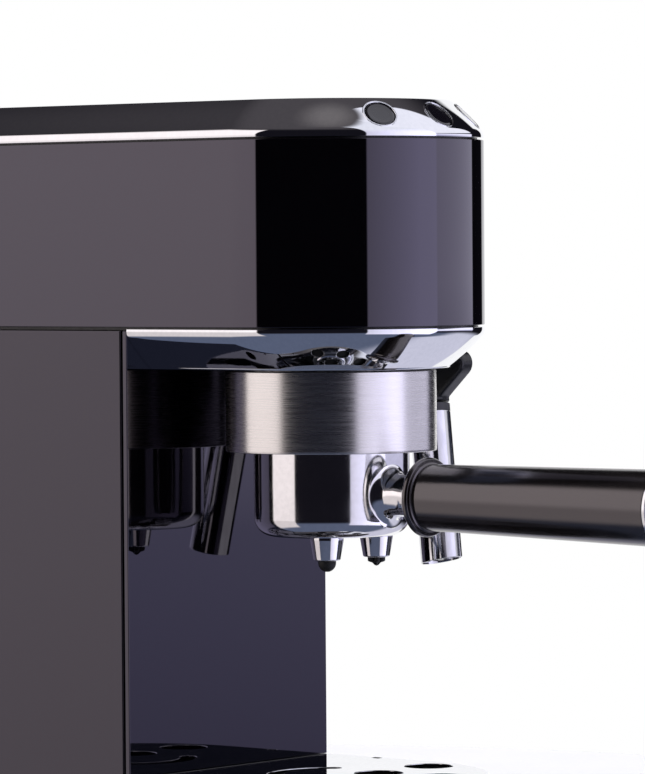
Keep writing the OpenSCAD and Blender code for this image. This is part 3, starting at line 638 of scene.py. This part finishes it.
slopes = {"one": on_slope(-BUTTON_STEP), "two": on_slope(0), "steam": on_slope(BUTTON_STEP)}
bezel = cut(bezel, [rod("hole", 6.9, -8, 4, m, 64) for m in slopes.values()])
piece(bezel, "body", "chrome", "top_bezel")

face = bezel_side(low_hi + JOIN, (48.9, UNDER + 0.6), -1)
lower = skirt(
    "lower_bezel_ring",
    [(R - 0.25, low_hi + JOIN), (R - 0.05, low_hi + JOIN - 0.2)] + face
    + [(48.8, UNDER + 0.3), (48.5, UNDER), (46, UNDER), (R - 2.8, low_hi + JOIN)],
    COLUMN - 0.1,
    160,
)
piece(lower, "body", "chrome", "lower_bezel")

bm = bmesh.new()
for m in slopes.values():
    turned(
        bm,
        fillet(
            [(6.45, -3), (7.3, -3), (7.3, 0.22), (7.15, 0.5), (6.95, 0.5), (6.88, 0.3), (6.78, 0.3),
             (6.72, 0.48), (6.55, 0.48), (6.45, 0.34)],
            0.05, 2,
        ),
        m, 96,
    )
piece(build("button_ring_set", bm), "body", "chrome", "button_rings")

for key, node in (("one", "button_one_cup"), ("two", "button_two_cups"), ("steam", "button_steam")):
    cap = fillet(
        [(0, 0.4), (3.6, 0.44), (5.2, 0.56), (6.2, 0.36), (6.2, -3.2), (6.65, -3.2), (6.65, -4.3),
         (2, -4.4), (2, -6.9), (0, -6.9)],
        [0, 2, 0.6, 0.55, 0.1, 0.1, 0.1, 0.1, 0.2, 0], 4, closed=False,
    )
    body = {"one": "one_cup_button", "two": "two_cup_button", "steam": "steam_button"}[key]
    piece(lathe(node + "_cap", cap, slopes[key], 96), body, "button_black", node)

under = plate(
    "underside",
    [u_path(45.4, COLUMN - 0.3), circle(0, 0, 40.2, 96)],
    2.0, stand(0, 0, UNDER + 1), 0.25,
)
piece(under, "body", "black_plastic", "underside_plate")

holes = [circle(x, 0.5 + 17 * i, 1.6, 24) for i in range(11) for x in (-24, 0, 24)]
deck = plate(
    "cup_deck", [u_path(R - INSET - 1.35, BACK - 0.3)] + holes, 1.6, stand(0, 0, TOP - 1.6), 0.25
)
bm = bmesh.new()
for i in range(12):
    rib = fillet([(0, -34), (0.9, -34), (0.9, 34), (0, 34)], [0, 0.8, 0.8, 0], 5, closed=False)
    turned(bm, rib, stand(0, -8 + 17 * i, TOP - 1) @ turn("Y", 90), 24)
piece(joined("cup_deck", [deck, build("ribs", bm)]), "body", "brushed_steel", "cup_plate")

# ---------------------------------------------------------------- group and filter holder

c_lo, c_hi = span("group_collar")
CR = c_hi.x
collar = fillet(
    [(40.6, c_lo.z + 0.8), (41.6, c_lo.z), (CR - 0.1, c_lo.z), (CR, c_lo.z + 0.9), (CR, c_hi.z - 0.5),
     (CR - 0.4, c_hi.z), (40.6, c_hi.z)],
    [0.1, 0.3, 0.35, 0.6, 0.3, 0.2, 0.1], 5,
)
piece(lathe("brushed_collar", collar, stand(0, 0, 0), 256), "body", "brushed_steel", "group_collar")

h_lo, h_hi = span("portafilter_body")
LOW, RIM = h_lo.z, h_hi.z
bowl = fillet(
    [(0, LOW + 0.3), (12, LOW), (31.6, LOW), (31.8, 150), (31.85, 176), (32.6, 176.6), (32.6, RIM),
     (28.7, RIM), (28.7, 173.4), (29.6, 172.9), (29.6, 171.9), (28.7, 171.4), (28.7, 136), (0, 136)],
    [0, 3, 7.6, 20, 0.4, 0.3, 0.4, 0.4, 0.2, 0.1, 0.1, 0.2, 2, 0], 9, closed=False,
)
parts = [lathe("bowl", bowl, stand(0, 0, 0), 256)]


def lug(a):
    inner = [(30.6 * cos(radians(a + w)), 30.6 * sin(radians(a + w))) for w in range(-17, 18, 2)]
    outer = [(37.8 * cos(radians(a + w)), 37.8 * sin(radians(a + w))) for w in range(17, -18, -2)]
    return plate("lug", [inner + outer], 4.5, stand(0, 0, 170.25), 0.5)


parts += [lug(0), lug(180)]

HANDLE_Z, HANDLE_TILT = 145.4, 0.67
on_handle = stand(0, 0, HANDLE_Z) @ turn("X", 90 + HANDLE_TILT)


def hand_worked(p, w):
    """The arm's root follows the round holder, and its surface is slightly uneven, as polished by hand."""
    amount = max(0.0, min(1.0, (p.z - 33) / 3)) * max(0.0, min(1.0, (46 - p.z) / 3))
    push = noise.noise(p * 0.14 + Vector((3, 1, 7))) * 1.2 + noise.noise(p * 0.33) * 0.35
    flat = 1 + amount * (0.02 * cos(2 * w) + push * 0.05)
    follow = 31.8 - (31.8**2 - min(p.x**2, 500)) ** 0.5
    root = max(0.0, min(1.0, (40 - p.z) / 8))
    return Vector((p.x * flat, p.y * flat, p.z - follow * root))


NECK = 8.8
neck = [(0, 27), (NECK + 4.6, 27), (NECK + 4.6, 31.2)]
neck += [(NECK + 4.6 - 4.6 * sin(radians(w)), 36.2 - 4.6 * cos(radians(w))) for w in range(4, 91, 7)]
neck += [(NECK - 0.05, 39), (NECK - 0.1, 41.5), (NECK + 0.25, 44), (NECK + 0.5, 46.5), (0, 46.5)]
parts.append(lathe("neck", neck, on_handle, 128, hand_worked))
piece(joined("filter_holder", parts), "portafilter", "polished_alloy", "portafilter_body")

SPOUT_X, SPOUT_Y = 15.9, -10.4
s_lo, s_hi = span("spouts")
bm = bmesh.new()
for x in (-SPOUT_X, SPOUT_X):
    turned(
        bm,
        fillet(
            [(2.4, s_hi.z + 0.2), (6.9, s_hi.z + 0.2), (6.85, s_hi.z - 0.8), (5.45, s_lo.z + 0.1),
             (4.0, s_lo.z + 0.1), (2.4, s_lo.z + 0.6)],
            [0.1, 0.1, 0.5, 0.85, 0.3, 0.2], 6,
        ),
        stand(x, SPOUT_Y, 0), 96,
    )
piece(build("spout_pair", bm), "portafilter", "polished_alloy", "spouts")

t_hi = span("spout_tips")[1]
bm = bmesh.new()
turned(
    bm,
    [(1.4, t_hi.z), (3.65, t_hi.z), (3.65, t_hi.z - 0.8)]
    + [(3.65 * cos(radians(w)), t_hi.z - 0.8 - 3.65 * sin(radians(w))) for w in range(10, 71, 10)]
    + [(1.0, t_hi.z - 4.35), (0.85, t_hi.z - 4.1)],
    stand(-SPOUT_X, SPOUT_Y, 0), 64,
)
left_tip = build("tip", bm)


def cross(p, w):
    """Four ribs that run to a point."""
    lobe = 0.5 + 0.5 * cos(4 * w)
    thin = 1 - 0.62 * (1 - lobe**0.6)
    return Vector((p.x * thin, p.y * thin, p.z))


bm = bmesh.new()
turned(
    bm,
    [(0, t_hi.z), (3.6, t_hi.z), (3.65, t_hi.z - 0.2), (3.6, t_hi.z - 1.5), (3.2, t_hi.z - 1.85),
     (1.8, t_hi.z - 2.3), (0.7, t_hi.z - 3.4), (0, t_hi.z - 3.6)],
    stand(SPOUT_X, SPOUT_Y, 0) @ turn("Z", 45), 96, cross,
)
right_tip = build("tip", bm)
piece(joined("spout_tip_pair", [left_tip, right_tip]), "portafilter", "rubber", "spout_tips")

FERRULE, GRIP = 46.6, 49.0
END = 172.0 - 3.6
ferrule = fillet(
    [(0, FERRULE), (9.6, FERRULE), (10.6, FERRULE + 0.5), (13.4, FERRULE + 0.9), (15.1, FERRULE + 1.7),
     (15.2, GRIP - 0.05), (0, GRIP - 0.05)],
    [0, 0.4, 0.5, 0.8, 0.4, 0.1, 0], 5, closed=False,
)
piece(lathe("ferrule", ferrule, on_handle, 160), "portafilter", "chrome", "handle_ferrule")
grip = fillet(
    [(0, GRIP), (15.6, GRIP), (16.05, GRIP + 0.6), (16.05, GRIP + 1.7), (15.5, GRIP + 2.5),
     (14.1, GRIP + 2.7), (13.3, GRIP + 3.0), (13.3, GRIP + 3.9), (13.55, GRIP + 4.6), (13.6, 66),
     (14.25, 110), (14.95, 156), (15.1, END - 1.9), (0, END - 1.9)],
    [0, 0.3, 0.5, 0.5, 0.5, 0.3, 0.25, 0.3, 0.5, 20, 30, 20, 0.3, 0], 5, closed=False,
)
piece(lathe("grip", grip, on_handle, 160), "portafilter", "handle_black", "handle_grip")
ring = fillet([(0, END - 1.85), (15.3, END - 1.85), (15.3, END - 0.05), (0, END - 0.05)],
              [0, 0.4, 0.4, 0], 5, closed=False)
piece(lathe("end_ring", ring, on_handle, 160), "portafilter", "chrome", "handle_end_ring")
end_cap = fillet([(0, END), (14.9, END), (14.4, END + 1.6), (12.6, END + 2.8), (8, END + 3.4),
                  (0, END + 3.6)],
                 [0, 0.2, 1.2, 1.5, 3, 0], 5, closed=False)
piece(lathe("end_cap", end_cap, on_handle, 160), "portafilter", "handle_black", "handle_end_cap")

# ---------------------------------------------------------------- steam wand

FOOT, LEAN, TUCK = (61.33, -8.81, 114), 9.29, 4.88
on_wand = stand(*FOOT) @ turn("Y", TUCK) @ turn("X", -LEAN)
SLEEVE = 63.1


def slanted(p, w):
    """The sleeve's lower end is cut at a slant, with a small notch."""
    lift = max(0.0, 1 - p.z / 8)
    notch = 1.5 * exp(-(((w - 5.5) / 0.16) ** 2)) * max(0.0, 1 - p.z / 2)
    return Vector((p.x, p.y, p.z + lift * (0.75 + 0.75 * cos(w + 0.8)) + notch))


sleeve = [(8.25, 0.0), (8.6, 0.05), (8.75, 0.25), (8.75, 0.9), (8.75, 2.5), (8.75, 8), (8.75, SLEEVE - 0.3),
          (8.6, SLEEVE - 0.05), (3.3, SLEEVE - 0.05), (3.3, SLEEVE - 2), (7.8, SLEEVE - 2),
          (7.8, 8), (7.8, 1)]
piece(lathe("froth_sleeve", sleeve, on_wand, 160, slanted), "wand", "polished_steel", "frother_sleeve")
ring = fillet([(3.4, SLEEVE + 0.15), (8.7, SLEEVE + 0.15), (8.7, SLEEVE + 3.4), (3.4, SLEEVE + 3.4)], 0.25, 3)
piece(lathe("sleeve_band", ring, on_wand, 128), "wand", "band_grey", "wand_band")

HUB = (67.81, 3.67, 190)
collar_part = lathe(
    "a",
    fillet([(0, SLEEVE + 4.1), (8.7, SLEEVE + 4.1), (8.2, SLEEVE + 17.8), (5, SLEEVE + 21.5),
            (0, SLEEVE + 21.5)],
           [0, 0.5, 2, 2, 0], 5, closed=False),
    on_wand, 96,
)
hub_part = lathe(
    "b", fillet([(0, -3.0), (7.5, -3.0), (7.5, 13.6), (0, 13.6)], [0, 0.8, 0.8, 0], 4, closed=False),
    stand(HUB[0], HUB[1] + 10, HUB[2]) @ turn("X", 90), 96,
)


def hull_outline(discs, seg=24):
    """Outline of the convex hull round several discs (y, z, radius)."""
    points = sorted({(round(y + r * cos(2 * pi * i / seg), 4), round(z + r * sin(2 * pi * i / seg), 4))
                     for y, z, r in discs for i in range(seg)})

    def side(seq):
        out = []
        for p in seq:
            while len(out) > 1 and (
                (out[-1][0] - out[-2][0]) * (p[1] - out[-2][1])
                - (out[-1][1] - out[-2][1]) * (p[0] - out[-2][0])
            ) <= 0:
                out.pop()
            out.append(p)
        return out[:-1]

    return side(points) + side(points[::-1])


TO_YZ = Matrix(((0, 0, 1, 0), (1, 0, 0, 0), (0, 1, 0, 0), (0, 0, 0, 1)))
tab_part = plate(
    "c",
    [hull_outline([(-12.7, 197.0, 5.6), (HUB[1] - 1, 192, 6.4), (HUB[1] - 4, 185.8, 6.0)], 32)],
    8, stand(67.6, 0, 0) @ TO_YZ, 1.2, 3,
)
elbow = melted(joined("elbow", [collar_part, hub_part, tab_part]), 0.45, 5)
piece(elbow, "wand", "black_plastic", "wand_elbow")

TO_XZ = Matrix(((1, 0, 0, 0), (0, 0, -1, 0), (0, 1, 0, 0), (0, 0, 0, 1)))
socket_part = plate(
    "a",
    [fillet([(49.7, UNDER + 0.3), (R - 0.2, low_hi - 1.8), (72, 206), (76.4, 198), (76.4, 184.2), (73, 180.7),
             (63, 180.7), (57, 185.2)], [0.3, 0.3, 4, 4, 3, 3, 3, 3], 4)],
    17.4, stand(0, (14.4 + 32) / 2, 0) @ TO_XZ, 0.9, 3,
)
stub = rod("b", 4, -2, 16, stand(HUB[0], 16, HUB[2]) @ turn("X", 90))
piece(joined("wand_mount", [socket_part, stub]), "body", "black_plastic", "wand_socket")

# ---------------------------------------------------------------- column and casing

p_lo, p_hi = span("front_panel")
panel = plate(
    "column_front",
    [round_rect(p_lo.x, p_lo.z, p_hi.x, p_hi.z, 0.4, 3)],
    p_hi.y - p_lo.y, stand(0, (p_lo.y + p_hi.y) / 2, 0) @ TO_XZ, 0.35, 3,
)
piece(panel, "body", "gloss_black", "front_panel")

SWITCH = ((span("power_switch")[0].y + span("power_switch")[1].y) / 2,
          (span("power_switch")[0].z + span("power_switch")[1].z) / 2)
for name, node, sign in (("left_side", "left_side_panel", -1), ("right_side", "right_side_panel", 1)):
    lo, hi = span(node)
    slots = [round_rect(152.2 + 8 * i, 58, 154.8 + 8 * i, 80, 1.25, 6) for i in range(5)]
    if sign > 0:
        slots.append(round_rect(SWITCH[0] - 10.95, SWITCH[1] - 7.95,
                                SWITCH[0] + 10.95, SWITCH[1] + 7.95, 0.8, 4))
    side = plate(
        name,
        [round_rect(lo.y, lo.z, hi.y, hi.z, 0.5, 3)] + slots,
        hi.x - lo.x, stand((lo.x + hi.x) / 2, 0, 0) @ TO_YZ, 0.6, 4,
    )
    piece(side, "body", "side_paint", node)

r_lo, r_hi = span("rear_cover")
FR = r_hi.x
slots = [round_rect(12 * i - 3, 120, 12 * i + 3, 170, 2.9, 6) for i in range(-3, 4)]
rear = plate(
    "rear_wall",
    [fillet([(-FR, r_lo.z), (FR, r_lo.z), (FR, shell_hi.z), (R - INSET - 3, TOP - 3),
             (-R + INSET + 3, TOP - 3), (-FR, shell_hi.z)], 1.0, 3), circle(0, 21, 4.9, 32)] + slots,
    r_hi.y - r_lo.y, stand(0, (r_lo.y + r_hi.y) / 2, 0) @ TO_XZ, 0.3,
)
piece(rear, "body", "black_plastic", "rear_cover")


def base_loop(inset, seg=48):
    """Plan of the base: half round in front, round corners at the back."""
    r, back, corner = R - inset, 267.0 - inset, 14.0 - inset
    front = [(r * cos(pi + pi * i / seg), r * sin(pi + pi * i / seg)) for i in range(seg + 1)]
    rear = [(r - corner + corner * cos(w), back - corner + corner * sin(w))
            for w in (radians(90 * i / 10) for i in range(11))]
    left = [(-x, y) for x, y in reversed(rear)]
    return front + rear + left


b_lo, b_hi = span("base_pan")
FOOT_H, BASE = b_lo.z, 12.0
pan = loft(
    "base",
    [(base_loop(1.0), FOOT_H), (base_loop(0.3), FOOT_H + 0.3), (base_loop(0), FOOT_H + 1.0),
     (base_loop(0), BASE - 0.3), (base_loop(0.1), BASE - 0.1), (base_loop(0.3), BASE), (base_loop(2.2), BASE),
     (base_loop(2.5), BASE - 0.3), (base_loop(2.5), 8.4), (base_loop(2.9), 8)],
)
pan = cut(
    pan,
    [rod("pocket", 8.1, FOOT_H - 1, FOOT_H + 1, stand(x, y, 0), 48) for x in (-46, 46) for y in (-22, 243)]
    + [rod("hole", 2, FOOT_H - 1, BASE, stand(x, y, 0), 32) for x in (-40, 40) for y in (75, 180)],
)
bulkhead = plate(
    "bulkhead", [round_rect(-R, 7.2, R, b_hi.z, 0.4, 3)], 2.5, stand(0, COLUMN + 1.25, 0) @ TO_XZ, 0.25
)
piece(joined("base", [pan, bulkhead]), "body", "black_plastic", "base_pan")

bm = bmesh.new()
foot = fillet([(0, 0.6), (5, 0.6), (5.6, 0), (8.2, 0), (9, 0.8), (9, 4.9), (8, 4.9), (8, 5.9), (0, 5.9)],
              [0, 0.2, 0.2, 0.3, 0.3, 0.3, 0.1, 0.1, 0], 3, closed=False)
for x in (-46, 46):
    for y in (-22, 243):
        turned(bm, foot, stand(x, y, 0), 64)
piece(build("feet", bm), "body", "rubber", "rubber_feet")

# ---------------------------------------------------------------- drip tray

y_lo, y_hi = span("tray_body")
T0, T1, TB = y_lo.z, 28.5, y_hi.y


def tray_loop(inset):
    return u_path(R - inset, TB - inset, 64)


tray = loft(
    "tray",
    [(tray_loop(0.9), T0), (tray_loop(0.3), T0 + 0.25), (tray_loop(0), T0 + 0.9), (tray_loop(0), T1 - 0.4),
     (tray_loop(0.12), T1 - 0.12), (tray_loop(0.4), T1), (tray_loop(1.8), T1), (tray_loop(2.1), T1 - 0.12),
     (tray_loop(2.2), T1 - 0.4), (tray_loop(2.2), T0 + 3.5),
     (tray_loop(2.6), T0 + 2.5), (tray_loop(3.8), T0 + 2)],
)
pegs = [
    plate("peg", [round_rect(x - 1.0, 25.1, x + 1.0, 28.3, 0.5, 4)], y_hi.z - T1 + 1,
          stand(0, 0, (y_hi.z + T1 - 1) / 2), 0.3)
    for x in (-R + 1.9, R - 1.9)
]
piece(joined("tray", [tray] + pegs), "tray", "black_plastic", "tray_body")

g_lo, g_hi = span("drip_grille")
loops = [u_path(R + 0.2, g_hi.y, 128)]
loops += [round_rect(x - 1.4, 24.7, x + 1.4, 28.7, 0.4, 3) for x in (-R + 1.9, R - 1.9)]
loops += [circle(x, -12, 10.2, 64) for x in (-47.4, -14.4, 14.4, 47.4)]
loops += [circle(x, -40.4, 10.2, 64) for x in (-19.2, 19.2)]
SLOT = 24.2
curve = [(SLOT + 3.5, w) for w in range(40, 141, 4)] + [(SLOT - 3.5, w) for w in range(140, 39, -4)]
points = [(r * cos(radians(w)), r * sin(radians(w))) for r, w in curve]
turns = [(40, -1), (140, 1)]
ends = {
    w: [(SLOT * cos(radians(w)) + 3.5 * cos(radians(w + side * k)),
         SLOT * sin(radians(w)) + 3.5 * sin(radians(w + side * k))) for k in range(10, 180, 10)]
    for w, side in turns
}
half = len(points) // 2
loops.append(points[:half] + ends[140] + points[half:] + ends[40][::-1])
grille = plate("grille", loops, g_hi.z - g_lo.z, stand(0, 0, (g_hi.z + g_lo.z) / 2), 0.3, 3)
piece(grille, "grille", "grille_steel", "drip_grille")

# ---------------------------------------------------------------- water tank

w_hi = span("water_tank")[1]
TX, TF, TR, TZ0, TZ1 = w_hi.x, 206.4, w_hi.y, 40.0, 281.0


def tank_loop(inset, front=0.0):
    return round_rect(-TX + inset, TF + front + inset, TX - inset, TR - inset, 14 - inset, 8)


tank = loft(
    "tank_body",
    [(tank_loop(3.0), TZ0), (tank_loop(0.9), TZ0 + 0.6), (tank_loop(0), TZ0 + 3), (tank_loop(0), TZ0 + 190),
     (tank_loop(0.35), TZ0 + 190.6), (tank_loop(0.35), TZ0 + 191.6), (tank_loop(0), TZ0 + 192.2),
     (tank_loop(0), TZ1 - 0.6), (tank_loop(0.5), TZ1), (tank_loop(1.6), TZ1), (tank_loop(2), TZ1 - 0.5),
     (tank_loop(2), TZ0 + 5), (tank_loop(2.8), TZ0 + 2.6), (tank_loop(5), TZ0 + 2)],
)
VY = 236
tank = cut(tank, [rod("outlet", 3.4, TZ0 - 2, TZ0 + 4, stand(0, VY, 0))])
LY, LZ = 210, 286
extra = []
for x in (-24, 20):
    ear = fillet([(0, 0), (3, 0), (3, 4), (0, 4)], [0, 0.4, 0.4, 0], 3, closed=False)
    extra.append(lathe("ear", [(1.55, 0), *ear[1:-1], (1.55, 4)], stand(x, LY, LZ) @ turn("Y", 90), 40))
    extra.append(plate("post", [round_rect(LY - 2.9, LZ - 6, LY + 2.9, LZ - 2.2, 0.3, 2)], 4,
                       stand(x + 2, 0, 0) @ TO_YZ, 0.2))
extra.append(plate("ledge", [round_rect(-47.5, TF + 1.8, 47.5, TF + 7, 0.5, 3)], 6,
                   stand(0, 0, TZ1 - 3.1), 0.4))
extra.append(lathe("neck", fillet([(3.4, TZ0 - 8.9), (6.9, TZ0 - 8.9), (7, TZ0 - 5.5), (6.4, TZ0 - 4.8),
                                   (6.4, TZ0 - 3.6), (7, TZ0 - 3), (7, TZ0 + 0.5),
                                   (3.4, TZ0 + 0.5)], 0.25, 3),
                   stand(0, VY, 0), 64))
extra.append(lathe("guide", fillet([(7, TZ0 + 1), (9, TZ0 + 1), (9, TZ0 + 11.9), (2.2, TZ0 + 11.9),
                                    (2.2, TZ0 + 10), (7, TZ0 + 10)], 0.3, 3), stand(0, VY, 0), 64))
piece(joined("tank_body", [tank] + extra), "tank", "tank_clear", "water_tank")



def lid_loop(inset):
    return [(x, max(y, LY + 3.6 + inset)) for x, y in tank_loop(inset)]


def skirt_loop(inset):
    return [(x, max(y, LY + 9 + inset - 3)) for x, y in tank_loop(inset)]


lid = loft(
    "lid",
    [(lid_loop(0.3), TZ1 + 0.45), (lid_loop(0), TZ1 + 0.8), (lid_loop(0), TZ1 + 3.2),
     (lid_loop(0.35), TZ1 + 4.1), (lid_loop(1.3), TZ1 + 4.55), (lid_loop(5), TZ1 + 4.6),
     (lid_loop(5.6), TZ1 + 4.2), (lid_loop(7), TZ1 + 4.1)],
)
rim = loft(
    "lid_rim",
    [(skirt_loop(3.1), TZ1 + 0.9), (skirt_loop(3.1), TZ1 - 2.4), (skirt_loop(3.6), TZ1 - 2.9),
     (skirt_loop(4.6), TZ1 - 2.9), (skirt_loop(4.9), TZ1 - 2.4), (skirt_loop(4.9), TZ1 + 0.9)],
)
knuckle = lathe("knuckle", fillet([(1.6, -19.6), (3, -19.6), (3, 19.6), (1.6, 19.6)], 0.3, 3),
                stand(0, LY, LZ) @ turn("Y", 90), 40)
arm = plate("arm", [round_rect(-19.5, LY + 1.8, 19.5, LY + 6, 0.4, 2)], 2.2, stand(0, 0, TZ1 + 3.4), 0.3)
lip = plate("lip", [round_rect(-16, TR - 14, 16, TR - 10.1, 1.6, 6)], 3.2, stand(0, 0, TZ1 + 5.7), 0.8, 3)
piece(joined("lid", [lid, rim, knuckle, arm, lip]), "lid", "black_plastic", "tank_lid")

seat = loft(
    "tank_base",
    [(round_rect(-61.5 + i, 206 + i, 61.5 - i, 267 - i, 14 - i, 8), z)
     for i, z in ((0.3, 12.25), (0, 12.6), (0, 35.8), (0, 39), (0.4, 39.35), (14, 39.4))],
)
inner = loft(
    "well",
    [(round_rect(-61.5 + i, 206 + i, 61.5 - i, 267 - i, 14 - i, 8), z) for i, z in ((2.5, 11), (2.5, 36))],
)
seat = cut(seat, [inner])
way = plate("way", [round_rect(-11.3, 200, 11.3, VY + 11.3, 11.2, 12)], 8, stand(0, 0, 38.8), 0.1)
seat = cut(seat, [way, rod("gland", 6.05, -8, 8, stand(38, 264.5, 22) @ turn("X", -90)),
                  rod("hose", 5, -4, 6, stand(0, 206, 21) @ turn("X", -90))])
piece(seat, "body", "black_plastic", "tank_seat")

# ---------------------------------------------------------------- knob, switch and gland

KR, KD = 20.0, knob_hi.x - knob_lo.x


def fluted(p, w):
    """Finger flutes round the rim."""
    r = (p.x**2 + p.y**2) ** 0.5
    if r < KR - 4.5:
        return p
    near = ((w * 18 / (2 * pi)) % 1.0) - 0.5
    dip = 0.95 * exp(-((near / 0.2) ** 2)) * max(0.0, min(1.0, (p.z - 2.2) / 1.5))
    return Vector((p.x * (1 - dip / r), p.y * (1 - dip / r), p.z))


knob_shape = fillet(
    [(0, 0), (KR - 1.5, 0), (KR, 1.5), (KR - 0.4, 6), (KR - 1.2, KD - 3), (KR - 3.6, KD - 0.4), (KR - 7, KD),
     (KR - 8, KD - 0.7), (0, KD - 0.7)],
    [0, 0.4, 0.8, 0, 1.6, 1.6, 0.5, 0.3, 0], 6, closed=False,
)
on_knob = stand(knob_lo.x, *KNOB) @ turn("Y", 90)
knob = lathe("knob", knob_shape, on_knob, 288, fluted)
groove = plate("groove", [round_rect(-KR - 2, -0.7, -KR + 11, 0.7, 0.69, 6)], 2.4,
               on_knob @ Matrix.Translation(Vector((0, 0, KD * MM))), 0.1)
piece(cut(knob, [groove]), "steam_knob", "handle_black", "steam_knob")

bezel_out = plate(
    "switch_frame",
    [round_rect(SWITCH[0] - 10.8, SWITCH[1] - 7.8, SWITCH[0] + 10.8, SWITCH[1] + 7.8, 1.2, 5),
     round_rect(SWITCH[0] - 9.4, SWITCH[1] - 6.4, SWITCH[0] + 9.4, SWITCH[1] + 6.4, 0.6, 4)],
    9.2, stand(R - 4.4, 0, 0) @ TO_YZ, 0.3, 3,
)
back_box = plate(
    "switch_back", [round_rect(SWITCH[0] - 10.8, SWITCH[1] - 7.8, SWITCH[0] + 10.8, SWITCH[1] + 7.8, 1, 4)],
    5, stand(R - 11.5, 0, 0) @ TO_YZ, 0.3,
)
piece(joined("switch_frame", [bezel_out, back_box]), "body", "black_plastic", "power_switch")

at_rocker = stand(R - 2.4, SWITCH[0], SWITCH[1]) @ turn("Z", 6)
rocker = plate(
    "rocker",
    [fillet([(-2.6, -8.6), (3.4, -8.4), (2.9, -4.2), (2.55, 0), (2.9, 4.2), (3.4, 8.4), (-2.6, 8.6)],
            [0.3, 0.6, 6, 6, 6, 0.6, 0.3], 4)],
    11.8, at_rocker, 0.4, 3,
)
pin = rod("pin", 0.9, -7.2, 7.2, at_rocker, 24)
piece(joined("rocker", [rocker, pin]), "rocker", "button_black", "power_rocker")

gland = fillet(
    [(3.6, -4.2), (7.4, -4.2), (7.4, -2.9), (5.95, -2.8), (5.95, -0.25), (5.6, -0.05), (3.6, -0.05)],
    [0.3, 0.3, 0.3, 0.1, 0.2, 0.2, 0.4], 3,
)
piece(lathe("gland", gland, stand(38, 267, 22) @ turn("X", -90), 64), "body", "rubber", "cord_gland")
